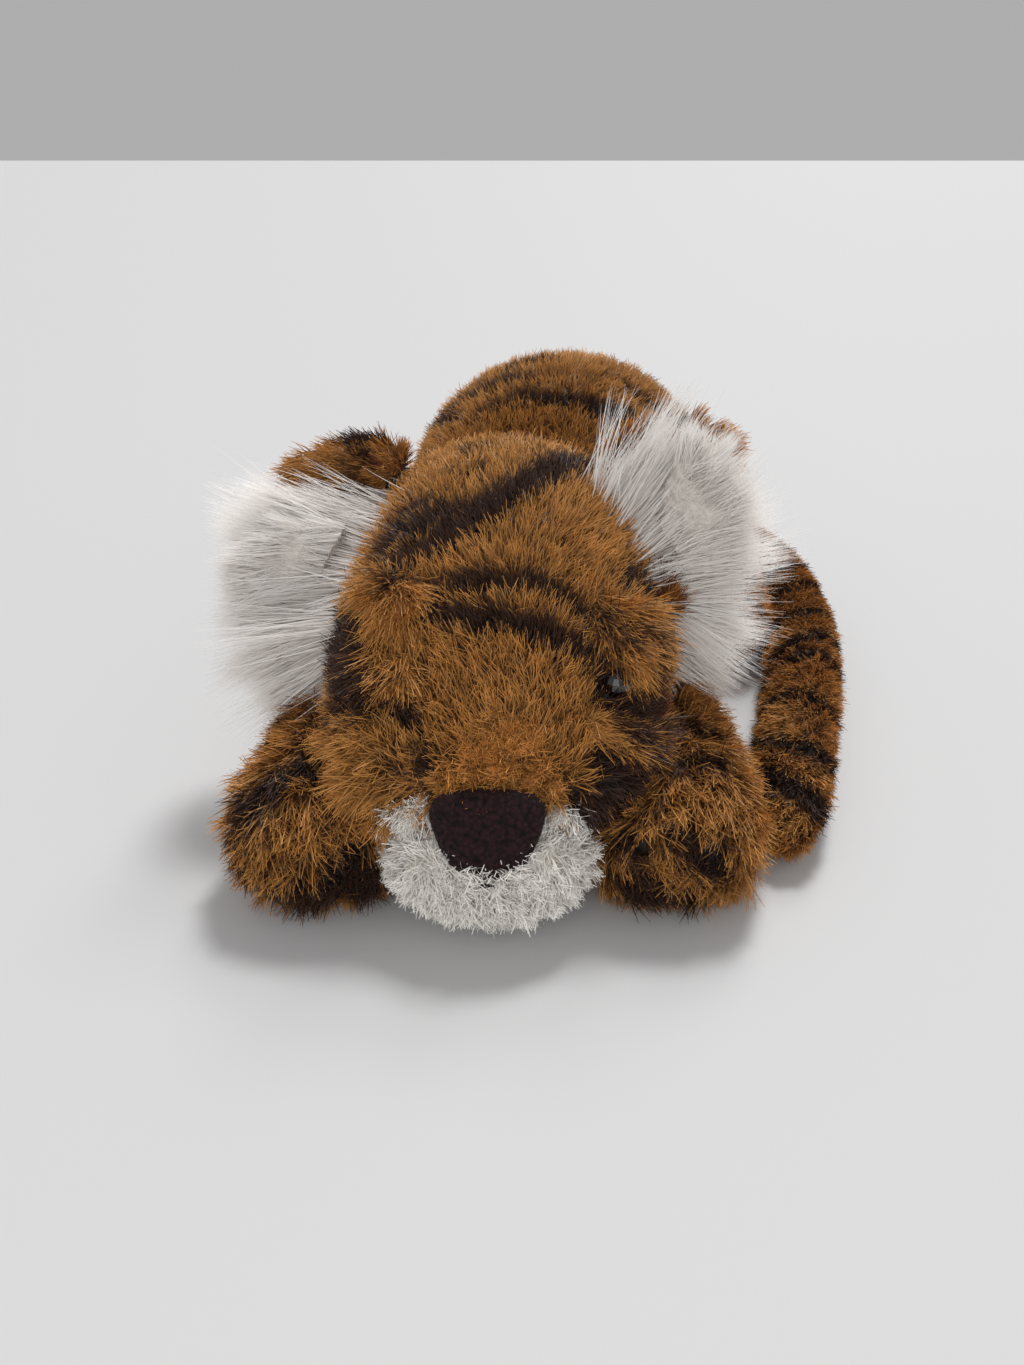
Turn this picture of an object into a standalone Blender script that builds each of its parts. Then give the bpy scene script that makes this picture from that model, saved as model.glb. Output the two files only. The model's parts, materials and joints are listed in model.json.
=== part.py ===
"""Plush tiger lying on its belly: a stuffed body, head, four legs and a tail, with sewn joints.

The neck joint is the datum. The head lies towards -Y, the body towards +Y, and the floor is at z = 0.
At the end an empty moves the whole toy so that the origin is under the middle of its outline.
"""

import math

import bmesh
import bpy
from mathutils import Matrix, Vector

# Driving sizes, in metres.
gap = 0.0003
swing_gap = 0.0014
flat_depth = 0.0005
overrun = 0.010

head_length = 0.212
head_width = 0.150
head_height = 0.148
head_front = -0.187
head_base = 0.002
neck_height = 0.066
neck_radius = 0.038
weld_distance = 0.00001

muzzle_length = 0.064
muzzle_width = 0.088
muzzle_height = 0.048
muzzle_front = -0.202
muzzle_base = 0.002
muzzle_aside = -0.0070

nose_width = 0.045
nose_height = 0.034
nose_thickness = 0.010
nose_lean = math.radians(62)
nose_front = -0.1965
nose_base = 0.0325

eye_radius = 0.0065
eye_sink = 0.0030
shank_radius = 0.0020
shank_length = 0.013
washer_radius = 0.0060
washer_thickness = 0.0016
washer_depth = 0.0080

ear_length = 0.058
ear_width = 0.036
ear_back_thickness = 0.009
ear_lining_thickness = 0.008
ear_lining_share = 0.80
ear_rise = {"left": 0.0010, "right": 0.0010}
ear_tilt = {"left": math.radians(-10), "right": math.radians(7)}

ruff_thickness = 0.036
ruff_sink = 0.018
ruff_reach = {"left": 0.070, "right": 0.056}
ruff_height = {"left": 0.072, "right": 0.106}
ruff_base = {"left": 0.062, "right": 0.063}

torso_length = 0.248
torso_width = 0.184
torso_height = 0.156
torso_front = -0.050
spine_bend = 0.044

shoulder_x = 0.060
shoulder_y = -0.010
shoulder_radius = 0.029
arm_reach = 0.178
arm_width = 0.077
arm_height = 0.062
paw_aside = {"left": 0.014, "right": 0.006}
paw_share = 0.72

hip_x = 0.056
hip_y = 0.112
hip_centre_x = 0.031
hip_radius = 0.044
thigh_reach = {"left": 0.092, "right": 0.104}
thigh_width = 0.062
thigh_height = 0.080
foot_aside = {"left": 0.054, "right": 0.022}
foot_share = 0.68

tail_root_x = 0.046
tail_root_y = 0.176
tail_root_radius = 0.022
tail_radius = 0.0205
tail_spread = 0.124
tail_run = 0.330

panel_thickness = 0.0030
panel_bevel = 0.0010
seam_width = 0.0040
belly_bag_size = (0.064, 0.076, 0.030)
front_bag_size = (0.038, 0.044, 0.024)
hind_bag_size = (0.032, 0.038, 0.022)
belly_bag_x = 0.011
belly_bag_y = 0.046

# How far each joint turns, in radians.
nod_limit = math.radians(22)
ear_limit = math.radians(20)
arm_limit = math.radians(30)
thigh_limit = math.radians(24)
# By this much nod the muzzle has risen clear of the paws.
muzzle_clear_limit = math.radians(7.33)
way_steps = 3
muzzle_way_steps = 4

# How finely the forms are drawn.
ring_points = 12
ball_points = 24
bag_points = 12
ball_rings = 8
disc_points = 16
tail_resolution = 2

# Colours as linear red, green and blue.
golden_fur = (0.32, 0.135, 0.038)
dark_fur = (0.022, 0.012, 0.008)
russet_nap = (0.10, 0.028, 0.012)
white_fur = (0.72, 0.68, 0.63)
nose_cloth = (0.030, 0.018, 0.020)
black_plastic = (0.004, 0.004, 0.005)
clear_plastic = (0.62, 0.62, 0.60)
bag_cloth = (0.55, 0.53, 0.48)

# Stations are along, aside, half width, underside and top, as shares of the form's own sizes.
head_shares = (
    (0.000, -0.045, 0.000, 0.30, 0.30),
    (0.045, -0.045, 0.330, 0.16, 0.44),
    (0.155, -0.040, 0.445, 0.12, 0.58),
    (0.285, -0.025, 0.485, 0.08, 0.76),
    (0.450, -0.010, 0.505, 0.05, 0.93),
    (0.640, 0.000, 0.505, 0.12, 1.00),
    (0.810, 0.000, 0.430, 0.32, 0.98),
    (0.930, 0.000, 0.300, 0.42, 0.84),
    (1.000, 0.000, 0.000, 0.62, 0.62),
)
muzzle_shares = (
    (0.00, 0.0, 0.00, 0.52, 0.52),
    (0.10, 0.0, 0.34, 0.14, 0.86),
    (0.32, 0.0, 0.48, 0.00, 1.00),
    (0.62, 0.0, 0.48, 0.00, 1.00),
    (0.90, 0.0, 0.30, 0.20, 0.80),
    (1.00, 0.0, 0.00, 0.50, 0.50),
)
nose_shares = (
    (0.00, 0.0, 0.00, 0.50, 0.50),
    (0.10, 0.0, 0.20, 0.10, 0.90),
    (0.45, 0.0, 0.39, 0.00, 1.00),
    (0.78, 0.0, 0.51, 0.00, 1.00),
    (0.93, 0.0, 0.44, 0.12, 0.88),
    (1.00, 0.0, 0.00, 0.50, 0.50),
)
ear_shares = (
    (-0.06, 0.0, 0.00, 0.50, 0.50),
    (0.02, 0.0, 0.36, 0.08, 0.92),
    (0.30, 0.0, 0.50, 0.00, 1.00),
    (0.62, 0.0, 0.49, 0.00, 1.00),
    (0.88, 0.0, 0.33, 0.10, 0.90),
    (1.00, 0.0, 0.00, 0.50, 0.50),
)
ruff_shares = (
    (0.00, 0.00, 0.00, 0.50, 0.50),
    (0.10, 0.02, 0.30, 0.16, 0.84),
    (0.36, 0.06, 0.50, 0.00, 1.00),
    (0.64, 0.08, 0.50, 0.00, 1.00),
    (0.88, 0.02, 0.32, 0.14, 0.86),
    (1.00, 0.00, 0.00, 0.50, 0.50),
)
torso_shares = (
    (0.000, 0.00, 0.00, 0.12, 0.12),
    (0.050, 0.00, 0.22, 0.00, 0.24),
    (0.160, 0.02, 0.33, 0.00, 0.42),
    (0.300, 0.12, 0.35, 0.00, 0.60),
    (0.440, 0.32, 0.41, 0.00, 0.84),
    (0.600, 0.58, 0.47, 0.00, 0.99),
    (0.760, 0.80, 0.48, 0.00, 1.00),
    (0.900, 0.94, 0.40, 0.04, 0.82),
    (0.970, 1.00, 0.24, 0.16, 0.62),
    (1.000, 1.00, 0.00, 0.38, 0.38),
)
arm_shares = (
    (0.00, 0.00, 0.00, 0.48, 0.48),
    (0.06, 0.02, 0.41, 0.04, 1.00),
    (0.20, 0.15, 0.40, 0.00, 0.97),
    (0.45, 0.40, 0.43, 0.00, 1.02),
    (0.67, 0.75, 0.47, 0.00, 1.00),
    (0.85, 1.00, 0.51, 0.00, 0.98),
    (0.96, 1.00, 0.41, 0.03, 0.78),
    (1.00, 1.00, 0.00, 0.40, 0.40),
)
thigh_shares = (
    (0.00, 0.00, 0.00, 0.60, 0.60),
    (0.10, 0.10, 0.66, 0.06, 1.06),
    (0.35, 0.60, 0.60, 0.00, 1.06),
    (0.58, 0.92, 0.52, 0.00, 0.88),
    (0.80, 1.00, 0.48, 0.00, 0.72),
    (0.95, 1.00, 0.37, 0.03, 0.54),
    (1.00, 1.00, 0.00, 0.30, 0.30),
)
# The tail's middle line from its root round the right side, as shares of its spread and its run.
tail_path_shares = (
    (0.00, 0.000),
    (0.20, -0.035),
    (0.50, -0.045),
    (0.80, 0.030),
    (0.95, 0.150),
    (0.99, 0.300),
    (0.97, 0.420),
    (0.90, 0.560),
    (0.77, 0.720),
    (0.650, 0.860),
    (0.590, 0.945),
    (0.565, 0.985),
    (0.562, 1.000),
)
tail_radius_shares = (0.80, 0.92, 1.00, 1.00, 1.00, 1.00, 1.00, 1.00, 1.00, 0.98, 0.90, 0.62, 0.30)
# The lower half of a stuffed form that lies on the floor is squarer than its upper half.
squash_share = 1.16
corner_share = 0.42
# Along the head and round its side.
head_eye_shares = (0.205, 0.250)
# Across, along and up the head.
head_ear_shares = (0.307, 0.717, 0.885)
head_ruff_shares = (0.433, 0.505)

sides = {"left": -1, "right": 1}
neck = Vector((0, 0, neck_height))


def clear_scene():
    for item in list(bpy.data.objects):
        bpy.data.objects.remove(item, do_unlink=True)


def new_collection(name, cutters):
    made = bpy.data.collections.new(name)
    bpy.context.scene.collection.children.link(made)
    made.hide_render = cutters
    return made


def add_object(name, mesh, collection):
    made = bpy.data.objects.new(name, mesh)
    collection.objects.link(made)
    if collection is cutters:
        made.hide_render = True
        made.display_type = "WIRE"
    return made


def add_empty(name, place, parent=None):
    made = bpy.data.objects.new(name, None)
    made.location = place
    tiger.objects.link(made)
    made.parent = parent
    return made


def give_finish(item, colour, roughness):
    material = bpy.data.materials.new(item.name + "_finish")
    material.use_nodes = True
    shader = material.node_tree.nodes["Principled BSDF"]
    shader.inputs["Base Color"].default_value = (*colour, 1)
    shader.inputs["Roughness"].default_value = roughness
    shader.inputs["Metallic"].default_value = 0
    item.data.materials.clear()
    item.data.materials.append(material)


def cut(item, cutter, operation="DIFFERENCE"):
    """Cuts or joins with the exact solver, which keeps the two closed."""
    step = item.modifiers.new(operation.lower() + "_" + cutter.name, "BOOLEAN")
    step.object = cutter
    step.operation = operation
    step.solver = "EXACT"


def roomier(cutter):
    """A copy of the room of a form that leaves more space, for a neighbour that slides past it."""
    copy = cutter.copy()
    copy.name = cutter.name + "_roomier"
    cutters.objects.link(copy)
    copy.modifiers["gap"].strength = swing_gap
    return copy


def turned(cutter, pivot, axis, angle):
    """A copy of a cutter turned about a joint, to clear the way of a piece that moves."""
    copy = roomier(cutter)
    copy.name = cutter.name + "_turned"
    turn = Matrix.Translation(pivot) @ Matrix.Rotation(angle, 4, axis) @ Matrix.Translation(-pivot)
    copy.matrix_basis = turn
    return copy


def clear_way(item, cutter, pivot, axis, limit, steps):
    """Cuts a piece clear of its neighbour at rest and where its joint turns it."""
    cut(item, cutter)
    for step in range(1, steps + 1):
        cut(item, turned(cutter, pivot, axis, -limit * step / steps))


def stations_of(shares, start, size, aside=0.0, base=0.0, centre=0.0):
    """Turns a table of shares into stations: place along, middle, half width, underside and top."""
    width, length, height = size
    return [
        (start + length * along, centre + aside * across, width * half, base + height * low, base + height * high)
        for along, across, half, low, high in shares
    ]


def soft_form(name, stations, place=None, flat_base=True):
    """A stuffed form: the rings of a sphere are moved onto the stations and then subdivided.

    Its own axes are X across, Y along and Z up, and place turns them to where the form lies.
    """
    form = bmesh.new()
    rings = len(stations) - 1
    bmesh.ops.create_uvsphere(form, u_segments=ring_points, v_segments=rings, radius=1)
    swell = 4 / (3 + math.cos(2 * math.pi / ring_points))
    for vert in form.verts:
        ring = round(rings * math.acos(max(-1, min(1, vert.co.z))) / math.pi)
        along, middle, half, low, high = stations[ring]
        turn = math.atan2(vert.co.y, vert.co.x)
        rise = (high - low) / 2
        up = math.sin(turn) * swell
        across = math.cos(turn) * swell
        if flat_base and up < 0:
            up = -min(1, -math.sin(turn) * squash_share)
            across = math.copysign(abs(math.cos(turn)) ** corner_share * swell, across)
        vert.co = (middle + across * half, along, (low + high) / 2 + up * rise)
    if place is not None:
        form.transform(place)
    if form.calc_volume(signed=True) < 0:
        bmesh.ops.reverse_faces(form, faces=form.faces)
    mesh = bpy.data.meshes.new(name)
    form.to_mesh(mesh)
    form.free()
    made = add_object(name, mesh, tiger)
    smooth = made.modifiers.new("stuffing", "SUBSURF")
    smooth.levels = 1
    smooth.render_levels = 1
    facets = made.modifiers.new("facets", "TRIANGULATE")
    facets.quad_method = "FIXED"
    return made


def space_of(form):
    """The room that a form takes up, with the gap all round it, to cut out of its neighbours."""
    space = form.copy()
    space.name = form.name + "_space"
    cutters.objects.link(space)
    space.hide_render = True
    space.display_type = "WIRE"
    grow = space.modifiers.new("gap", "DISPLACE")
    grow.strength = gap
    grow.mid_level = 0
    return space


def ball(name, centre, size, collection, axis="Z", points=ball_points, well=0.0):
    """A ball or an egg with the given half sizes, its poles on the given axis.

    A well turns its lower half into a straight shaft that deep.
    """
    form = bmesh.new()
    bmesh.ops.create_uvsphere(form, u_segments=points, v_segments=ball_rings, radius=1)
    for vert in form.verts:
        if well and vert.co.z < 0:
            vert.co.z = math.asin(max(-1, vert.co.z)) * 2 / math.pi * well / size[2]
            if vert.co.xy.length > weld_distance:
                vert.co.xy = vert.co.xy.normalized()
    if axis == "X":
        form.transform(Matrix.Rotation(math.pi / 2, 4, "Y"))
    form.transform(Matrix.Translation(centre) @ Matrix.Diagonal((*size, 1)))
    mesh = bpy.data.meshes.new(name)
    form.to_mesh(mesh)
    form.free()
    return add_object(name, mesh, collection)


def disc(name, centre, radii, depth, collection, normal=None):
    """An oval disc whose middle is at centre and whose axis is normal."""
    form = bmesh.new()
    bmesh.ops.create_cone(
        form, cap_ends=True, segments=disc_points, radius1=1, radius2=1, depth=1
    )
    form.transform(Matrix.Diagonal((radii[0], radii[1], depth, 1)))
    if normal is not None:
        form.transform(normal.to_track_quat("Z", "X").to_matrix().to_4x4())
    form.transform(Matrix.Translation(centre))
    mesh = bpy.data.meshes.new(name)
    form.to_mesh(mesh)
    form.free()
    return add_object(name, mesh, collection)


def socket(owner, name, centre, radius, axis):
    """Sinks a round seat into its owner. Its flats clear the corners of the ball that turns in it."""
    roomy = (radius + gap) / math.cos(math.pi / ball_points)
    size = [roomy, roomy, roomy]
    size["XYZ".index(axis)] = radius + gap
    cut(owner, ball(name, centre, size, cutters, axis))


def smooth_round(item, angle=math.radians(50)):
    item.data.shade_smooth()
    item.data.set_sharp_from_angle(angle=angle)


def cut_flat(item):
    """Cuts a form flat where it rests on the floor."""
    cut(item, floor_cutter)


def grown_sizes(size, amount):
    return tuple(value + amount for value in size)


def pellet_pocket(owner, prefix, centre, size, colour):
    """A bag of pellets in a pocket of its owner, closed from below by a sewn panel."""
    half = (size[0] / 2, size[1] / 2, size[2] / 2)
    bag_centre = Vector((centre[0], centre[1], panel_thickness + gap + half[2]))
    bag = ball(prefix + "_pellet_bag", bag_centre, half, tiger, points=bag_points)
    give_finish(bag, bag_cloth, 0.9)
    smooth_round(bag)
    pocket = ball(
        prefix + "_pocket",
        bag_centre,
        grown_sizes(half, gap),
        cutters,
        points=bag_points,
        well=bag_centre.z + overrun,
    )
    cut(owner, pocket)
    panel_radii = (half[0] + seam_width, half[1] + seam_width)
    panel = disc(
        prefix + ("_panel" if prefix == "belly" else "_sole"),
        Vector((centre[0], centre[1], panel_thickness / 2)),
        panel_radii,
        panel_thickness,
        tiger,
    )
    soften = panel.modifiers.new("turned_edge", "BEVEL")
    soften.width = panel_bevel
    soften.segments = 1
    give_finish(panel, colour, 0.95)
    smooth_round(panel)
    recess_depth = panel_thickness + gap + overrun
    recess = disc(
        prefix + "_panel_recess",
        Vector((centre[0], centre[1], recess_depth / 2 - overrun)),
        grown_sizes(panel_radii, gap),
        recess_depth,
        cutters,
    )
    cut(owner, recess)
    return bag, panel


def head_surface(along_share, height_share):
    """A point on the right side of the head and the way that its surface faces there."""
    table = stations_of(head_shares, head_front, (head_width, head_length, head_height), head_width, head_base)
    along = head_front + head_length * along_share
    before = max(i for i, station in enumerate(table[:-1]) if station[0] <= along)
    start, end = table[before], table[before + 1]
    part = (along - start[0]) / (end[0] - start[0])
    _, middle, half, low, high = (a + (b - a) * part for a, b in zip(start, end))
    turn = math.pi * height_share
    point = Vector((half * math.cos(turn), along, (low + high) / 2 + (high - low) / 2 * math.sin(turn)))
    widening = (end[2] - start[2]) / (end[0] - start[0])
    faces = Vector((math.cos(turn) / half, -widening / half, math.sin(turn) * 2 / (high - low)))
    return point, middle, faces.normalized()


def make_torso():
    size = (torso_width, torso_length, torso_height + flat_depth)
    form = soft_form("torso", stations_of(torso_shares, torso_front, size, spine_bend, -flat_depth))
    space = space_of(form)
    cut_flat(form)
    return form, space


def make_head(torso_space):
    size = (head_width, head_length, head_height)
    stations = stations_of(head_shares, head_front, size, head_width, head_base)
    form = soft_form("head", stations, flat_base=False)
    space = space_of(form)
    clear_way(form, torso_space, neck, "X", -nod_limit, way_steps)
    cut(form, ball("neck_core", neck, (neck_radius,) * 3, cutters, "X"), "UNION")
    return form, space


def make_muzzle(head_space):
    size = (muzzle_width, muzzle_length, muzzle_height)
    stations = stations_of(muzzle_shares, muzzle_front, size, 0.0, muzzle_base, muzzle_aside)
    form = soft_form("muzzle", stations, flat_base=False)
    space = space_of(form)
    cut(form, head_space)
    return form, space


def make_nose(head_space, muzzle_space):
    size = (nose_width, nose_height, nose_thickness)
    stations = stations_of(nose_shares, 0.0, size, 0.0, -nose_thickness / 2)
    place = Matrix.Translation((muzzle_aside, nose_front, nose_base)) @ Matrix.Rotation(nose_lean, 4, "X")
    form = soft_form("nose", stations, place, flat_base=False)
    cut(form, head_space)
    cut(form, muzzle_space)
    return form


def make_eye(side, head_form):
    sign = sides[side]
    point, middle, faces = head_surface(*head_eye_shares)
    outward = Vector((sign * faces.x, faces.y, faces.z))
    place = Vector((middle + sign * point.x, point.y, point.z)) - outward * eye_sink
    eye = ball(side + "_eye", place, (eye_radius,) * 3, tiger, points=disc_points)
    shank_middle = place - outward * (eye_radius + shank_length) / 2
    shank_run = eye_radius + shank_length
    shank = disc(side + "_shank", shank_middle, (shank_radius,) * 2, shank_run, cutters, outward)
    cut(eye, shank, "UNION")
    give_finish(eye, black_plastic, 0.08)
    smooth_round(eye)
    seat_size = (eye_radius + gap,) * 3
    cut(head_form, ball(side + "_eye_seat", place, seat_size, cutters, points=disc_points))
    clearance = (shank_radius + gap,) * 2
    bore = disc(side + "_shank_bore", shank_middle, clearance, shank_run + gap * 2, cutters, outward)
    cut(head_form, bore)
    washer_middle = place - outward * (eye_radius + washer_depth)
    washer = disc(
        side + "_eye_washer", washer_middle, (washer_radius,) * 2, washer_thickness, tiger, outward
    )
    cut(washer, bore)
    give_finish(washer, clear_plastic, 0.4)
    pocket = disc(
        side + "_washer_pocket",
        washer_middle,
        (washer_radius + gap,) * 2,
        washer_thickness + gap * 2,
        cutters,
        outward,
    )
    cut(head_form, pocket)
    return eye, washer


def make_ear(side, head_space):
    """The ear stands out sideways: a furry back and a lining on its front face."""
    sign = sides[side]
    tilt = ear_tilt[side]
    root = Vector(
        (
            sign * head_width * head_ear_shares[0],
            head_front + head_length * head_ear_shares[1],
            head_base + head_height * head_ear_shares[2] + ear_rise[side],
        )
    )
    along = Vector((sign * math.cos(tilt), 0, math.sin(tilt)))
    across = Vector((-sign * math.sin(tilt), 0, math.cos(tilt)))
    turn = Matrix((across, along, across.cross(along))).transposed().to_4x4()

    def layer(ending, share, thickness, forward):
        size = (ear_width * share, ear_length * share, thickness)
        stations = stations_of(ear_shares, 0, size, 0, -thickness / 2)
        place = Matrix.Translation(root - Vector((0, forward, 0))) @ turn
        return soft_form(side + ending, stations, place, flat_base=False)

    back = layer("_ear_back", 1, ear_back_thickness, 0)
    lining = layer("_ear_lining", ear_lining_share, ear_lining_thickness, ear_back_thickness / 2)
    cut(lining, space_of(back))
    for form, colour in ((back, golden_fur), (lining, russet_nap)):
        cut(form, head_space)
        cut(form, turned(head_space, root, across, ear_limit))
        cut(form, turned(head_space, root, across, -ear_limit))
        give_finish(form, colour, 0.95)
    return [back, lining], root, across


def make_ruff(side, head_space):
    sign = sides[side]
    size = (ruff_reach[side], ruff_height[side], ruff_thickness)
    across_share, along_share = head_ruff_shares
    centre = sign * (head_width * across_share + ruff_reach[side] / 2 - ruff_sink)
    ruff_y = head_front + head_length * along_share
    stations = stations_of(ruff_shares, 0, size, sign * ruff_reach[side], -ruff_thickness / 2)
    upright = Matrix.Rotation(math.pi / 2, 4, "X")
    place = Matrix.Translation((centre, ruff_y, ruff_base[side])) @ upright
    form = soft_form(side + "_ruff", stations, place, flat_base=False)
    cut(form, head_space)
    give_finish(form, white_fur, 0.9)
    return form


def make_arm(side, torso_space, head_space, muzzle_space):
    sign = sides[side]
    pivot = Vector((sign * shoulder_x, shoulder_y, shoulder_radius))
    size = (arm_width, -arm_reach, arm_height + flat_depth)
    stations = stations_of(
        arm_shares, shoulder_y, size, sign * paw_aside[side], -flat_depth, pivot.x
    )
    form = soft_form(side + "_front_leg", stations)
    cut(form, torso_space)
    root_size = (shoulder_radius,) * 3
    cut(form, ball(side + "_shoulder_core", pivot, root_size, cutters), "UNION")
    cut(form, roomier(head_space))
    clear_way(form, muzzle_space, neck, "X", muzzle_clear_limit, muzzle_way_steps)
    cut_flat(form)
    paw_place = (pivot.x + sign * paw_aside[side], shoulder_y - arm_reach * paw_share)
    inner = pellet_pocket(form, side + "_front", paw_place, front_bag_size, dark_fur)
    return form, inner, pivot


def make_thigh(side, torso_space):
    sign = sides[side]
    pivot = Vector((hip_centre_x + sign * hip_x, hip_y, hip_radius))
    reach = thigh_reach[side]
    size = (thigh_width, -reach, thigh_height + flat_depth)
    stations = stations_of(
        thigh_shares, hip_y, size, sign * foot_aside[side], -flat_depth, pivot.x
    )
    form = soft_form(side + "_hind_leg", stations)
    clear_way(form, torso_space, pivot, "X", -thigh_limit, way_steps)
    root_size = (hip_radius,) * 3
    cut(form, ball(side + "_hip_core", pivot, root_size, cutters, "X"), "UNION")
    cut_flat(form)
    foot_place = (pivot.x + sign * foot_aside[side], hip_y - reach * foot_share)
    inner = pellet_pocket(form, side + "_hind", foot_place, hind_bag_size, dark_fur)
    return form, inner, pivot


def make_tail(torso_space):
    pivot = Vector((tail_root_x, tail_root_y, tail_root_radius))
    curve = bpy.data.curves.new("tail_route", "CURVE")
    curve.dimensions = "3D"
    curve.bevel_depth = tail_radius
    curve.bevel_resolution = tail_resolution
    curve.resolution_u = tail_resolution
    curve.use_fill_caps = True
    line = curve.splines.new("NURBS")
    line.points.add(len(tail_path_shares) - 1)
    for point, (across, back), share in zip(line.points, tail_path_shares, tail_radius_shares):
        height = tail_radius * share - flat_depth
        point.co = (pivot.x + tail_spread * across, pivot.y - tail_run * back, height, 1)
        point.radius = share
    line.order_u = 4
    line.use_endpoint_u = True
    route = add_object("tail_route", curve, cutters)
    bpy.context.view_layer.update()
    mesh = bpy.data.meshes.new_from_object(route.evaluated_get(bpy.context.evaluated_depsgraph_get()))
    bpy.data.objects.remove(route, do_unlink=True)
    tube = bmesh.new()
    tube.from_mesh(mesh)
    bmesh.ops.remove_doubles(tube, verts=tube.verts, dist=weld_distance)
    bmesh.ops.recalc_face_normals(tube, faces=tube.faces)
    tube.to_mesh(mesh)
    tube.free()
    form = add_object("tail", mesh, tiger)
    cut(form, torso_space)
    root_size = (tail_root_radius,) * 3
    cut(form, ball("tail_core", pivot, root_size, cutters), "UNION")
    cut_flat(form)
    return form, pivot


def centre_of_outline(items):
    """The middle of the box round the finished pieces, seen from above."""
    graph = bpy.context.evaluated_depsgraph_get()
    low = [math.inf, math.inf]
    high = [-math.inf, -math.inf]
    for item in items:
        seen = item.evaluated_get(graph)
        for vert in seen.data.vertices:
            place = seen.matrix_world @ vert.co
            for axis in (0, 1):
                low[axis] = min(low[axis], place[axis])
                high[axis] = max(high[axis], place[axis])
    return Vector(((low[0] + high[0]) / 2, (low[1] + high[1]) / 2, 0))


def hang(items, empty, pivot):
    """Hangs finished pieces on the empty that sits on their joint's axis."""
    for item in items:
        item.parent = empty
        item.location = -pivot


clear_scene()
tiger = new_collection("plush_tiger", False)
cutters = new_collection("plush_tiger_cutters", True)
floor_size = torso_length + arm_reach + tail_spread + head_length
floor_cutter = disc(
    "floor", Vector((0, 0, -floor_size / 2)), (floor_size, floor_size), floor_size, cutters
)

torso, torso_space = make_torso()
give_finish(torso, golden_fur, 0.95)
head, head_space = make_head(torso_space)
muzzle, muzzle_space = make_muzzle(head_space)
nose = make_nose(head_space, muzzle_space)
socket(torso, "neck_socket", neck, neck_radius, "X")
give_finish(head, golden_fur, 0.95)
give_finish(muzzle, white_fur, 0.95)
give_finish(nose, nose_cloth, 0.9)
belly = pellet_pocket(torso, "belly", (belly_bag_x, belly_bag_y), belly_bag_size, golden_fur)

moving = {"head": ([head, muzzle, nose], neck)}
for side in sides:
    moving["head"][0].extend(make_eye(side, head))
    moving["head"][0].append(make_ruff(side, head_space))
    ear, ear_root, ear_axis = make_ear(side, head_space)
    moving[side + "_ear"] = (ear, ear_root)
    print(side, "ear axis", tuple(round(value, 5) for value in ear_axis))
    arm, inner, pivot = make_arm(side, torso_space, head_space, muzzle_space)
    give_finish(arm, golden_fur, 0.95)
    socket(torso, side + "_shoulder_socket", pivot, shoulder_radius, "Z")
    moving[side + "_front_leg"] = ([arm, *inner], pivot)
    thigh, inner, pivot = make_thigh(side, torso_space)
    give_finish(thigh, golden_fur, 0.95)
    socket(torso, side + "_hip_socket", pivot, hip_radius, "X")
    moving[side + "_hind_leg"] = ([thigh, *inner], pivot)
tail, pivot = make_tail(torso_space)
give_finish(tail, golden_fur, 0.95)
socket(torso, "tail_socket", pivot, tail_root_radius, "Z")
moving["tail"] = ([tail], pivot)

bpy.context.view_layer.update()
shift = centre_of_outline(tiger.objects)
origin = add_empty("toy_origin", -shift)
joints = {}
for name, (items, pivot) in moving.items():
    parent = joints["head"] if name.endswith("ear") else origin
    place = pivot - (neck if name.endswith("ear") else Vector())
    joints[name] = add_empty(name + "_joint", place, parent)
    hang(items, joints[name], pivot)
    world = pivot - shift
    print(name, "joint at", tuple(round(value, 5) for value in world))
for item in [torso, *belly, *cutters.objects]:
    item.parent = origin
bpy.context.view_layer.update()
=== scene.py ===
# %% [markdown]
# # A plush tiger lying on its belly
#
# The toy is sewn from a handful of stuffed forms: a body, a head, four legs and a tail.
# Each form gets two things here. First a padded skin, which is the backing cloth with its
# stuffing, and then the pile that grows on it, strand by strand, because pile is what the
# eye reads first on plush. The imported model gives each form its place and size. Stripes,
# brows and other small marks are laid on the forms in mm.

# %% Load the frame
import json
import math

import bmesh
import bpy
import numpy as np
from mathutils import Matrix, Vector
from mathutils.bvhtree import BVHTree

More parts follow.
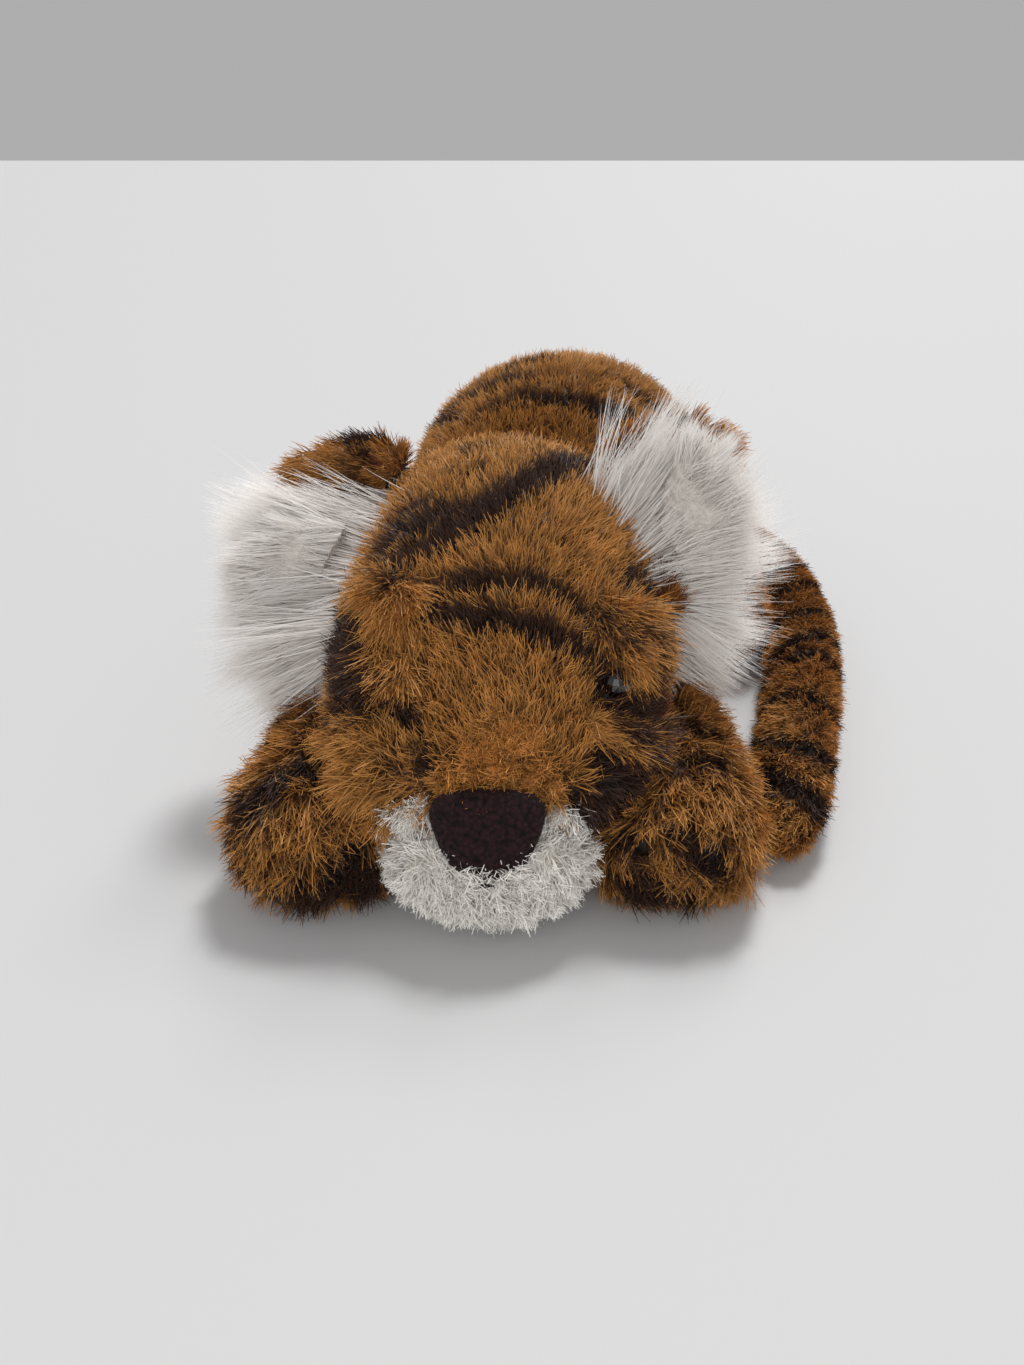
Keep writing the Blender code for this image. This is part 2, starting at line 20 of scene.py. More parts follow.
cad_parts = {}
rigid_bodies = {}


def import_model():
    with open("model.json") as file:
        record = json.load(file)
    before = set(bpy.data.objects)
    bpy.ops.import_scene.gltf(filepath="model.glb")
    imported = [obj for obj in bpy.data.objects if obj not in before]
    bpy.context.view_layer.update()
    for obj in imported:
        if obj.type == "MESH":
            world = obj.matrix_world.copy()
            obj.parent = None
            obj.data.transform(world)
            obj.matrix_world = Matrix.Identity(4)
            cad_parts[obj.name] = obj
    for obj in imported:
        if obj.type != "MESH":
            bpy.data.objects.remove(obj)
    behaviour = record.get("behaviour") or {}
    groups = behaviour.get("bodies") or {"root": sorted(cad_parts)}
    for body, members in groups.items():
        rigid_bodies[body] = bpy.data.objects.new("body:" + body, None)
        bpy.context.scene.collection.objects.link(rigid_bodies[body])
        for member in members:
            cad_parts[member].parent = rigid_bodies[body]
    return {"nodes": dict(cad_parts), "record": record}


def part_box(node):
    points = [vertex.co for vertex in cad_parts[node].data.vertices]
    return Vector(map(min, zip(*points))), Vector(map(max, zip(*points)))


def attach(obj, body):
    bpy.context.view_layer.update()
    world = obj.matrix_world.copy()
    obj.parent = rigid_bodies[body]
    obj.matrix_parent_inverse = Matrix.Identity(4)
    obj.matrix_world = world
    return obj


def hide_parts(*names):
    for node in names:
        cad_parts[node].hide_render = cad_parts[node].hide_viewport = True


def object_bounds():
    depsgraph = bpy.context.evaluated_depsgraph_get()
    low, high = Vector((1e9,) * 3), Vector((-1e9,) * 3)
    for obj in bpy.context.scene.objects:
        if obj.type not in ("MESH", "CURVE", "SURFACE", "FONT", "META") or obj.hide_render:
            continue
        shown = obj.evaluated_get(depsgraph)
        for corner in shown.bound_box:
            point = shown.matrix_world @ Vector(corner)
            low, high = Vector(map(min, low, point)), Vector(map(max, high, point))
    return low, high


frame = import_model()
cad_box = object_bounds()
nodes = frame["nodes"]
MM = 0.001
print("box in mm:", [[round(value / MM, 1) for value in corner] for corner in cad_box])

# %% [markdown]
# The camera stands where a person stands at a table with the toy in front: 28 cm above the
# table, looking 30 degrees down. The lens is wide, as on a phone held near, so the face
# looms and the rump shrinks. The picture is 1024 by 1365 pixels, and a lens is stated by the
# height of its sensor, since the picture stands upright.

# %% The camera
PICTURE_HEIGHT = 1365
LENS_PIXELS = 1000
SENSOR = 36
CAMERA_PLACE = (-0.0317, -0.4783, 0.276)
CAMERA_PITCH = 60
lens = bpy.data.cameras.new("camera")
lens.sensor_fit = "VERTICAL"
lens.sensor_height = SENSOR
lens.lens = LENS_PIXELS / PICTURE_HEIGHT * SENSOR
lens.dof.use_dof = False
camera = bpy.data.objects.new("camera", lens)
camera.location = CAMERA_PLACE
camera.rotation_euler = (math.radians(CAMERA_PITCH), 0, 0)
bpy.context.scene.collection.objects.link(camera)
bpy.context.scene.camera = camera
print("lens:", round(lens.lens, 2), "mm on a sensor", SENSOR, "mm high")

# %% [markdown]
# Colours are written as hex codes, the way a paint tool shows them, and one function turns
# them to the linear numbers that shaders work in. Another small function adds a node with
# its settings and its links, for shaders and for geometry alike, and a third starts a material.

# %% Three helpers for nodes and materials


def linear(code):
    """The linear colour of an sRGB hex code."""
    shares = [int(code[i : i + 2], 16) / 255 for i in (1, 3, 5)]
    return (*[s / 12.92 if s <= 0.04045 else ((s + 0.055) / 1.055) ** 2.4 for s in shares], 1)


def add_node(tree, kind, inputs=None, **settings):
    """Adds a node. An input takes a number, a colour, or the output of another node."""
    made = tree.nodes.new(kind)
    for name, value in settings.items():
        setattr(made, name, value)
    for name, value in (inputs or {}).items():
        socket = made.inputs[name]
        if isinstance(value, bpy.types.NodeSocket):
            tree.links.new(value, socket)
        else:
            socket.default_value = value
    return made


def new_material(name):
    """A new material with its node tree and its main shader."""
    made = bpy.data.materials.new(name)
    made.use_nodes = True
    return made, made.node_tree, made.node_tree.nodes["Principled BSDF"]


print("white is", linear("#ffffff"))

# %% [markdown]
# The room is plain: a pale table top and a pale world round it. The light is that of a bright
# hall: an even glow from all sides and a broad lamp high up behind the toy, which lights
# the back and the crown and throws the shadow towards the viewer. A sun lamp stands in for
# it, since its light is as strong far away on the table as it is near.

# %% The table and the light


def plain_material(name, colour, roughness):
    """A material of one colour, for what isn't part of the toy."""
    made, _, shader = new_material(name)
    shader.inputs["Base Color"].default_value = linear(colour)
    shader.inputs["Roughness"].default_value = roughness
    return made


table_form = bmesh.new()
bmesh.ops.create_grid(table_form, x_segments=1, y_segments=1, size=6)
table_mesh = bpy.data.meshes.new("table_top")
table_form.to_mesh(table_mesh)
table_form.free()
table_mesh.materials.append(plain_material("pale_table_top", "#d2d2d2", 0.7))
table = bpy.data.objects.new("table_top", table_mesh)
bpy.context.scene.collection.objects.link(table)

world = bpy.data.worlds.new("pale_room")
world.use_nodes = True
room = world.node_tree.nodes["Background"]
room.inputs["Color"].default_value = linear("#f4f3f4")
room.inputs["Strength"].default_value = 0.47
bpy.context.scene.world = world


def broad_lamp(name, towards, spread, strength):
    """A sun lamp: where its light comes from, how wide it looks, and how strong it is."""
    light = bpy.data.lights.new(name, "SUN")
    light.angle = math.radians(spread)
    light.energy = strength
    lamp = bpy.data.objects.new(name, light)
    lamp.rotation_euler = Vector(towards).to_track_quat("Z", "Y").to_euler()
    bpy.context.scene.collection.objects.link(lamp)


broad_lamp("lamp_above", (0.22, 0.58, 1.0), 13, 1.75)
broad_lamp("lamp_behind", (0.34, 1.0, 1.0), 14, 0.5)
broad_lamp("lamp_front", (-0.15, -1.0, 0.42), 60, 0.75)
bpy.context.scene.view_settings.view_transform = "Standard"

# %% [markdown]
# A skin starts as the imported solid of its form. The solid has round seats for its neighbours'
# joints and pockets for the pellets, which the backing cloth simply spans, so their walls
# are deleted and the holes closed. A voxel remesh then knits one even mesh, which is
# smoothed and drawn in by the length of the pile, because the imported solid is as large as
# the toy with its fur. Underneath, where the toy presses on the table, the pile lies flat,
# so the skin is drawn in less there.

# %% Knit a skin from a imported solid
VOXEL = 4.5 * MM
WELD = 0.01 * MM
FLOOR_ROOM = 1.6 * MM
PRESSED_BELOW = 14 * MM
WALL_SLACK = 1.5 * MM
POCKET_SLACK = 1.2 * MM


def object_from(form, name):
    """Links a finished bmesh as an object."""
    mesh = bpy.data.meshes.new(name)
    form.to_mesh(mesh)
    form.free()
    made = bpy.data.objects.new(name, mesh)
    bpy.context.scene.collection.objects.link(made)
    return made


def applied(item):
    """Applies every modifier of an object to its mesh."""
    graph = bpy.context.evaluated_depsgraph_get()
    mesh = bpy.data.meshes.new_from_object(
        item.evaluated_get(graph), preserve_all_data_layers=True, depsgraph=graph
    )
    old = item.data
    item.modifiers.clear()
    item.data = mesh
    bpy.data.meshes.remove(old)


def welded_copy(node):
    """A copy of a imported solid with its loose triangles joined."""
    form = bmesh.new()
    form.from_mesh(nodes[node].data)
    bmesh.ops.remove_doubles(form, verts=form.verts, dist=WELD)
    return form


def span_seats(form, seats, hidden_nodes):
    """Deletes the walls of round seats and pockets, and closes the holes that they leave."""
    doomed = set()
    for centre, radius in seats:
        reach = radius + WALL_SLACK
        doomed |= {f for f in form.faces if all((v.co - centre).length < reach for v in f.verts)}
    for node in hidden_nodes:
        low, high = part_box(node)
        low = Vector(low) - Vector((1, 1, 1)) * POCKET_SLACK
        high = Vector(high) + Vector((1, 1, 1)) * POCKET_SLACK
        doomed |= {
            f
            for f in form.faces
            if all(low[i] <= v.co[i] <= high[i] for v in f.verts for i in range(3))
        }
    bmesh.ops.delete(form, geom=list(doomed), context="FACES")
    rims = [e for e in form.edges if e.is_boundary]
    bmesh.ops.holes_fill(form, edges=rims, sides=0)
    bmesh.ops.triangulate(form, faces=form.faces)


def knitted(item, voxel, rounds):
    """Remeshes an object evenly and smooths it. Returns its bmesh, with fresh normals."""
    knit = item.modifiers.new("knit", "REMESH")
    knit.mode = "VOXEL"
    knit.voxel_size = voxel
    applied(item)
    form = bmesh.new()
    form.from_mesh(item.data)
    for _ in range(rounds):
        bmesh.ops.smooth_vert(
            form, verts=form.verts, factor=0.5, use_axis_x=True, use_axis_y=True, use_axis_z=True
        )
    form.normal_update()
    return form


def written_back(form, item):
    """Writes a bmesh back to its object, shaded smooth."""
    form.to_mesh(item.data)
    form.free()
    item.data.shade_smooth()
    print(item.name, "has", len(item.data.polygons), "faces")


def knit_skin(name, node, draw_in, seats=(), hidden_nodes=(), voxel=VOXEL, smooths=4):
    """The closed backing cloth of a form, drawn in by the pile that will cover it."""
    form = welded_copy(node)
    span_seats(form, seats, hidden_nodes)
    skin = object_from(form, name)
    form = knitted(skin, voxel, smooths)
    for vert in form.verts:
        pressed = min(1, max(0, -vert.normal.z)) * min(1, max(0, 1 - vert.co.z / PRESSED_BELOW))
        move = vert.normal * draw_in
        vert.co -= Vector((move.x, move.y, move.z * (1 - pressed)))
        vert.co.z = max(vert.co.z, FLOOR_ROOM)
    written_back(form, skin)
    return skin


def swell(skin, lumps):
    """Swells a skin along its normals at soft spots: centre, radius and height, all in mm."""
    places, normals = points_of(skin)
    for centre, radius, height in lumps:
        places += normals * (near(places, centre, radius) * height * MM)[:, None]
    places[:, 2] = np.maximum(places[:, 2], FLOOR_ROOM)
    skin.data.vertices.foreach_set("co", places.ravel())
    skin.data.update()


PUFF_FRAMES = 20
PUFF_PRESSURE = 4


def puff(skin, most):
    """Blows a closed skin up as cloth, as stuffing does. No point moves more than most."""
    before, _ = points_of(skin)
    cloth = skin.modifiers.new("puff", "CLOTH")
    cloth.settings.quality = 3
    cloth.settings.use_pressure = True
    cloth.settings.uniform_pressure_force = PUFF_PRESSURE
    cloth.settings.effector_weights.gravity = 0
    cloth.point_cache.frame_start = 1
    cloth.point_cache.frame_end = PUFF_FRAMES
    for number in range(1, PUFF_FRAMES + 1):
        bpy.context.scene.frame_set(number)
    applied(skin)
    bpy.context.scene.frame_set(1)
    after, _ = points_of(skin)
    moves = after - before
    size = np.linalg.norm(moves, axis=1, keepdims=True)
    places = before + moves * np.minimum(1, most / np.maximum(size, 1e-9))
    places[:, 2] = np.maximum(places[:, 2], np.minimum(before[:, 2], FLOOR_ROOM))
    skin.data.vertices.foreach_set("co", places.ravel())
    skin.data.update()
    print(skin.name, "puffed by up to", round(float(size.max()) / MM, 1), "mm, kept to", most / MM)


joints = frame["record"]["behaviour"]["joints"]
joint_places = {joint["name"]: Vector(joint["pos_m"]) for joint in joints}
print(sorted(joint_places))

# %% [markdown]
# The facts that the pile and the colours need are kept on the skin's points: which way the pile is
# combed, how dense it is, how deep a point lies inside a dark stroke, and how rusty the cloth is
# there. Most dark strokes are stripes of the toy, and those round the eyes are painted shade. A
# stroke is laid like a stroke of a brush: a line on the form and a half width that tapers at both
# ends.

# %% Facts on the skin's points
OUTSIDE = -40
RING_REACH = 32 * MM


def points_of(skin):
    """The places and normals of a skin's points as arrays."""
    places = np.empty(len(skin.data.vertices) * 3)
    skin.data.vertices.foreach_get("co", places)
    normals = np.empty(len(skin.data.vertices) * 3)
    skin.data.vertices.foreach_get("normal", normals)
    return places.reshape(-1, 3), normals.reshape(-1, 3)


def keep_fact(skin, name, values):
    """Stores one number or one vector for each point of the skin."""
    values = np.asarray(values, float)
    if values.ndim == 2:
        made = skin.data.attributes.new(name, "FLOAT_VECTOR", "POINT")
        made.data.foreach_set("vector", values.ravel())
    else:
        made = skin.data.attributes.new(name, "FLOAT", "POINT")
        made.data.foreach_set("value", values)


def stroke_depth(points, strokes):
    """How far, in mm, each point lies inside the nearest stroke, and below 0 outside it."""
    best = np.full(len(points), float(OUTSIDE))
    for width, line in strokes:
        line = np.array(line, float) * MM
        steps = np.linalg.norm(np.diff(line, axis=0), axis=1)
        run = 0.0
        for start, end, step in zip(line[:-1], line[1:], steps):
            along = np.clip(((points - start) @ (end - start)) / step**2, 0, 1)
            away = np.linalg.norm(points - start - along[:, None] * (end - start), axis=1)
            place = (run + along * step) / steps.sum()
            half = width * (1 - 0.55 * np.abs(2 * place - 1) ** 3)
            best = np.maximum(best, half - away / MM)
            run += step
    return best


def laid_on(node, strokes):
    """The strokes with points every few mm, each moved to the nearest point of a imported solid."""
    form = welded_copy(node)
    tree = BVHTree.FromBMesh(form)
    form.free()
    laid = []
    for width, line in strokes:
        points = []
        for start, end in zip(line[:-1], line[1:]):
            start, end = Vector(start), Vector(end)
            parts = max(1, round((end - start).length / 4))
            points += [start.lerp(end, i / parts) for i in range(parts)]
        points.append(Vector(line[-1]))
        laid.append((width, [tree.find_nearest(point * MM)[0] / MM for point in points]))
    return laid


def ring_depth(points, rings):
    """The same for bands round a tube: a ring is a half width, two points of it and the middle."""
    best = np.full(len(points), float(OUTSIDE))
    for width, first, second, middle in rings:
        first, second, middle = (np.array(p, float) * MM for p in (first, second, middle))
        across = np.cross(second - first, middle - first)
        across /= np.linalg.norm(across)
        away = np.abs((points - middle) @ across)
        far = np.linalg.norm(points - middle, axis=1) > RING_REACH
        best = np.maximum(best, np.where(far, OUTSIDE, width - away / MM))
    return best


def near(points, centre, radius):
    """A soft spot: 1 at the centre and 0 well beyond the radius, all in mm."""
    away = np.linalg.norm(points / MM - np.array(centre, float), axis=1)
    return np.exp(-((away / radius) ** 2))


def unit(vectors):
    return vectors / np.maximum(np.linalg.norm(vectors, axis=1, keepdims=True), 1e-9)


print("a stroke is a half width and a line, in mm")

# %% [markdown]
# Most strokes below follow the markings of the toy, form by form, as lines of points in mm on its
# outside, and as plain bands where no marking is known. Real stripes on such a toy are dyed into
# the pile before the cloth is cut, so they cross the forms in broken bands with ragged, browner
# edges. The head's strokes round its eyes are painted shade instead: the dark of the hollows under
# the brows.

# %% The stripes of the head, and the painted shade round its eyes
HEAD_STROKES = [
    (8.2, [(-85, -108, 113), (-74, -110, 119), (-60, -108, 125), (-48, -101, 131), (-38, -93, 136),
           (-28, -84, 139), (-16, -70, 142), (-2, -47, 140), (11, -33, 132)]),
    (7.4, [(-86, -99, 117), (-78, -95, 124), (-65, -95, 130), (-52, -91, 136)]),
    (4.2, [(-84, -86, 123), (-76, -83, 129), (-63, -83, 135)]),
    (2.6, [(-66, -73, 137), (-53, -71, 142), (-37, -66, 145)]),
    (4.4, [(-37, -24, 144), (-26, -27, 144), (-15, -28, 143)]),
    (3.0, [(-57, -50, 144), (-46, -43, 146), (-32, -48, 147)]),
    (4.8, [(-70, -127, 109), (-57, -126, 113), (-44, -125, 116), (-29, -125, 116), (-16, -127, 113),
           (-5, -131, 106), (4, -136, 98)]),
    (5.8, [(-73, -134, 103), (-59, -134, 106), (-44, -137, 106), (-27, -140, 103), (-13, -142, 98),
           (-2, -146, 92), (6, -141, 81)]),
    (9.5, [(-104, -70, 101), (-107, -88, 90), (-107, -112, 84), (-101, -137, 80), (-94, -149, 76)]),
    # The hollow of the left eye under its brow: painted shade.
    (12.0, [(-103, -116, 92), (-94, -134, 90), (-89, -146, 86), (-89, -153, 76)]),
    (4.0, [(-107, -98, 90), (-97, -119, 97), (-90, -131, 95)]),
    (3.2, [(-107, -74, 94), (-103, -97, 98)]),
    (5.2, [(-82, -154, 82), (-76, -158, 81), (-70, -162, 79), (-65, -169, 74)]),
    (3.0, [(-64, -171, 72), (-62, -178, 66), (-59, -183, 58)]),
    (5.4, [(12, -115, 110), (21, -101, 111)]),
    (8.0, [(38, -93, 86), (39, -97, 77), (37, -112, 68)]),
    (4.5, [(26, -96, 109), (31, -92, 107)]),
    (4.6, [(18, -118, 103), (27, -105, 102), (34, -95, 98)]),
    (6.2, [(26, -124, 91), (34, -106, 88), (38, -96, 81)]),
    (3.4, [(4, -128, 108), (14, -130, 100), (22, -128, 93)]),
    (6.0, [(25, -124, 100), (28, -122, 92)]),
    # The hollow round the right eye, beside and below it: painted shade.
    (9.0, [(3, -151, 86), (15, -146, 82), (25, -143, 74)]),
    (7.0, [(0, -155, 82), (8, -155, 78), (16, -152, 74), (24, -148, 69)]),
    (7.0, [(22, -136, 88), (26, -138, 80), (27, -143, 70)]),
    (15.0, [(2, -175, 62), (12, -168, 56), (20, -161, 42), (12, -168, 33), (2, -176, 38)]),
    (7.5, [(-10, -182, 55), (-4, -179, 50), (-4, -178, 40), (-3, -175, 32)]),
    (3.6, [(-84, -10, 128), (-60, 2, 137), (-33, 5, 140), (-8, 3, 137), (18, -8, 127)]),
    (4.0, [(-88, 6, 108), (-62, 18, 124), (-36, 20, 127), (-10, 18, 124), (22, 4, 106)]),
    (4.0, [(-76, 22, 90), (-50, 28, 104), (-20, 28, 104), (6, 22, 92)]),
    (3.6, [(-98, -38, 112), (-102, -30, 92), (-98, -24, 70)]),
    (3.6, [(-94, -8, 100), (-92, 0, 78)]),
    (3.6, [(32, -38, 112), (36, -30, 92), (32, -24, 70)]),
    (3.6, [(28, -8, 100), (26, 0, 78)]),
    (4.0, [(-104, -66, 84), (-106, -70, 62), (-98, -74, 44)]),
    (4.0, [(38, -66, 84), (39, -70, 62), (32, -74, 44)]),
    (4.0, [(-100, -110, 66), (-100, -112, 48), (-92, -112, 34)]),
    (4.0, [(34, -110, 66), (34, -112, 48), (26, -112, 34)]),
]
TORSO_STROKES = [
    (4.2, [(-92, 110, 84), (-80, 108, 113), (-63, 77, 125), (-49, 66, 127)]),
    (5.0, [(-48, 68, 129), (-38, 72, 135), (-22, 73, 138), (-5, 71, 137), (17, 72, 132),
           (40, 75, 122), (62, 80, 106), (76, 84, 84)]),
    (4.2, [(-82, 94, 116), (-66, 92, 128), (-51, 89, 138), (-36, 89, 143), (-13, 87, 146)]),
    (4.2, [(-38, 102, 145), (-21, 108, 150), (-4, 109, 152)]),
    (4.6, [(3, 69, 134), (16, 67, 128), (28, 66, 122)]),
    (4.2, [(18, 97, 146), (41, 94, 134), (56, 93, 120), (74, 96, 98), (84, 98, 74)]),
    (4.6, [(-74, 132, 116), (-52, 134, 132), (-30, 136, 140)]),
    (4.6, [(4, 134, 142), (30, 132, 136), (54, 128, 122), (72, 124, 104), (82, 120, 80)]),
    (4.8, [(-86, 140, 76), (-76, 154, 92), (-54, 162, 108), (-26, 166, 116), (0, 166, 116)]),
    (4.6, [(20, 162, 116), (44, 156, 106), (66, 144, 90), (80, 132, 66)]),
    (4.8, [(-64, 172, 60), (-44, 182, 76), (-16, 188, 84), (10, 186, 84)]),
    (4.4, [(30, 180, 78), (52, 168, 66), (68, 156, 48)]),
    (4.4, [(-80, 152, 40), (-62, 172, 34), (-44, 184, 40)]),
    (4.2, [(-82, 44, 62), (-74, 42, 88), (-54, 40, 106), (-30, 38, 112)]),
    (4.2, [(8, 38, 110), (34, 40, 102), (54, 44, 84), (60, 46, 58)]),
    (4.0, [(-78, 12, 50), (-72, 10, 74), (-56, 8, 90)]),
    (4.0, [(54, 12, 50), (48, 10, 74), (32, 8, 90)]),
]
LEFT_FRONT_STROKES = [
    (5.0, [(-115, -104, 59), (-128, -92, 47), (-132, -117, 47)]),
    (5.0, [(-115, -123, 60), (-130, -120, 50), (-136, -132, 45)]),
    (7.8, [(-108, -134, 55), (-107, -157, 59), (-120, -163, 56), (-134, -168, 47),
           (-143, -168, 31)]),
    (7.8, [(-143, -169, 31), (-142, -175, 22), (-134, -182, 12), (-129, -182, 7)]),
    (10.0, [(-131, -182, 9), (-113, -186, 12), (-94, -187, 15), (-80, -175, 5)]),
    (8.5, [(-104, -188, 28), (-89, -186, 30), (-77, -176, 16)]),
    (3.0, [(-128, -182, 41), (-118, -186, 37), (-111, -188, 32)]),
    (4.0, [(-120, -70, 56), (-136, -70, 40), (-138, -70, 18)]),
    (4.0, [(-116, -38, 54), (-130, -38, 40), (-132, -38, 18)]),
]
RIGHT_FRONT_STROKES = [
    (4.6, [(36, -125, 61), (45, -134, 59), (58, -133, 50)]),
    (4.6, [(25, -160, 58), (37, -156, 59), (57, -150, 52)]),
    (6.0, [(22, -178, 49), (34, -185, 41), (53, -186, 27)]),
    (4.4, [(27, -188, 32), (39, -188, 31), (58, -183, 18)]),
    (8.0, [(3, -176, 9), (11, -183, 8), (25, -185, 8), (42, -182, 4)]),
    (6.5, [(2, -180, 19), (17, -187, 17), (25, -187, 16)]),
    (7.0, [(3, -178, 36), (10, -182, 36), (18, -185, 34)]),
    (4.0, [(46, -70, 56), (60, -70, 40), (64, -70, 18)]),
    (4.0, [(42, -38, 54), (56, -38, 40), (58, -38, 18)]),
]
HIND_STROKES = {
    "left_hind_leg": [
        (4.6, [(-60, 60, 88), (-86, 58, 76), (-104, 56, 56), (-110, 54, 34)]),
        (4.6, [(-52, 92, 88), (-80, 94, 80), (-100, 94, 60), (-108, 92, 34)]),
        (4.6, [(-50, 124, 84), (-76, 128, 72), (-94, 128, 50), (-98, 126, 24)]),
        (4.0, [(-128, 50, 30), (-136, 40, 22), (-138, 30, 12)]),
        (4.0, [(-112, 72, 40), (-122, 70, 26), (-126, 68, 10)]),
    ],
    "right_hind_leg": [
        (4.2, [(60, 44, 84), (80, 42, 74), (92, 40, 54), (96, 38, 34)]),
        (4.2, [(62, 74, 86), (84, 74, 78), (97, 72, 60), (102, 70, 36)]),
        (4.4, [(54, 104, 88), (78, 106, 80), (95, 106, 60), (98, 104, 34)]),
        (4.4, [(50, 132, 78), (72, 134, 66), (86, 134, 46), (88, 132, 24)]),
        (4.0, [(74, 14, 34), (86, 18, 28), (94, 24, 16)]),
    ],
}
TAIL_RINGS = [
    (4.6, (30, 178, 42), (30, 200, 20), (30, 176, 4)),
    (4.6, (58, 176, 42), (64, 198, 22), (60, 174, 4)),
    (4.2, (84, 166, 38), (98, 178, 30), (78, 164, 22)),
    (4.2, (101, 128, 38), (122, 146, 36), (111, 135, 22)),
    (4.2, (112, 98, 36), (140, 114, 34), (125, 106, 22)),
    (4.2, (117, 72, 36), (143, 84, 36), (131, 78, 22)),
    (4.2, (118, 46, 34), (149, 58, 33), (133, 52, 22)),
    (4.4, (119, 14, 36), (148, 24, 29), (133, 20, 22)),
    (3.8, (113, -18, 36), (146, -2, 26), (128, -10, 22)),
    (3.8, (99, -38, 29), (136, -34, 24), (118, -38, 22)),
    (3.8, (88, -66, 26), (124, -78, 26), (107, -72, 21)),
    (3.8, (80, -90, 22), (108, -116, 28), (97, -100, 20)),
    (5.5, (70, -118, 18), (96, -140, 22), (85, -130, 19)),
]
print("strokes on the head:", len(HEAD_STROKES))

# %% [markdown]
# Now the backing cloths of the large forms are knit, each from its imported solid. The torso
# spans the seats of its neighbours' joints, and the legs span the pockets of their pellets.
# At the end each is blown up a little as cloth, so it rounds where stuffing presses on it.

# %% Knit the large skins
PILE = 4.5 * MM
SEAT_ROOM = 1.2 * MM
MOST_PUFF = 2.2 * MM
LEGS = ("left_front_leg", "right_front_leg", "left_hind_leg", "right_hind_leg")
SEATS = {
    "head_nod": 38, "left_front_leg_swing": 29, "right_front_leg_swing": 29,
    "left_hind_leg_lift": 44, "right_hind_leg_lift": 44, "tail_swing": 22,
}
torso_seats = [(joint_places[name], radius * MM + SEAT_ROOM) for name, radius in SEATS.items()]
belly_parts = ["belly_panel", "belly_pellet_bag"]
eye_parts = ["left_eye_washer", "right_eye_washer", "left_eye", "right_eye"]
skins = {
    "torso": knit_skin("torso_skin", "torso", PILE, torso_seats, belly_parts),
    "head": knit_skin("head_skin", "head", PILE, (), eye_parts),
    "tail": knit_skin("tail_skin", "tail", PILE * 0.8),
}
for leg in LEGS:
    pocket = leg.replace("_leg", "")
    skins[leg] = knit_skin(leg + "_skin", leg, PILE, (), [pocket + "_sole", pocket + "_pellet_bag"])
for skin in skins.values():
    puff(skin, MOST_PUFF)

# %% [markdown]
# A strand of pile is a ribbon one to four faces long, which is enough for the eye, because
# it sees thousands at once. A node group lays one ribbon for each point of a mesh, all in one
# place, and their points are then moved to where each strand grows. So one operator makes
# the mesh, and plain arithmetic on arrays makes the fur.

# %% Blank ribbons for strands


def blank_ribbons(name, count, segments):
    """A mesh of equal ribbons, all at the origin: across is -1 to 1 and along is 0 to 1."""
    seeds = bpy.data.meshes.new(name + "_seeds")
    seeds.vertices.add(count)
    item = bpy.data.objects.new(name, seeds)
    bpy.context.scene.collection.objects.link(item)
    tree = bpy.data.node_groups.new(name, "GeometryNodeTree")
    tree.interface.new_socket("Seeds", in_out="INPUT", socket_type="NodeSocketGeometry")
    tree.interface.new_socket("Ribbons", in_out="OUTPUT", socket_type="NodeSocketGeometry")
    source = add_node(tree, "NodeGroupInput")
    ribbon = add_node(
        tree, "GeometryNodeMeshGrid",
        {"Size X": 2, "Size Y": 1, "Vertices X": 2, "Vertices Y": segments + 1},
    )
    laid = add_node(
        tree, "GeometryNodeInstanceOnPoints",
        {"Points": source.outputs["Seeds"], "Instance": ribbon.outputs["Mesh"]},
    )
    real = add_node(tree, "GeometryNodeRealizeInstances", {"Geometry": laid.outputs["Instances"]})
    smooth = add_node(tree, "GeometryNodeSetShadeSmooth", {"Geometry": real.outputs["Geometry"]})
    add_node(tree, "NodeGroupOutput", {"Ribbons": smooth.outputs["Geometry"]})
    item.modifiers.new("lay", "NODES").node_group = tree
    applied(item)
    bpy.data.node_groups.remove(tree)
    return item


test = blank_ribbons("test", 3, 2)
print("three ribbons have", len(test.data.polygons), "faces")
bpy.data.objects.remove(test)

# %% [markdown]
# The roots are planted at random over a skin, more where it is large and thick. Each strand
# first leans the way it is combed, then droops, and is pulled towards the middle of its
# clump, as real pile mats a little once it has been handled. No strand stands far outside
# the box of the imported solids: a straight one ends at a limit, and a bent one just past it.

# %% Plant and grow
STAND_PROUD = 8 * MM
BEND_ROOM = 3 * MM
ROOT_DEPTH = 0.4 * MM
PILE_LIMIT = (np.array(cad_box[0]) - STAND_PROUD, np.array(cad_box[1]) + STAND_PROUD)


def fact_of(skin, name, size=1):
    values = np.empty(len(skin.data.vertices) * size)
    skin.data.attributes[name].data.foreach_get("vector" if size == 3 else "value", values)
    return values.reshape(-1, size) if size == 3 else values


def plant(skin, count, chance, only=None):
    """Random roots on a skin, with the normals and the comb found there."""
    skin.data.calc_loop_triangles()
    corners = np.empty(len(skin.data.loop_triangles) * 3, int)
    skin.data.loop_triangles.foreach_get("vertices", corners)
    corners = corners.reshape(-1, 3)
    places, normals = points_of(skin)
    thick = fact_of(skin, "thick") * (only(places) if only else 1)
    a, b, c = (places[corners[:, i]] for i in range(3))
    weights = np.linalg.norm(np.cross(b - a, c - a), axis=1) * thick[corners].mean(axis=1)
    picks = corners[chance.choice(len(corners), count, p=weights / weights.sum())]
    mix = chance.dirichlet((1, 1, 1), count)

    def blend(values):
        return (values[picks] * mix.reshape(count, 3, *[1] * (values.ndim - 1))).sum(axis=1)

    return blend(places), unit(blend(normals)), blend(fact_of(skin, "comb", 3))


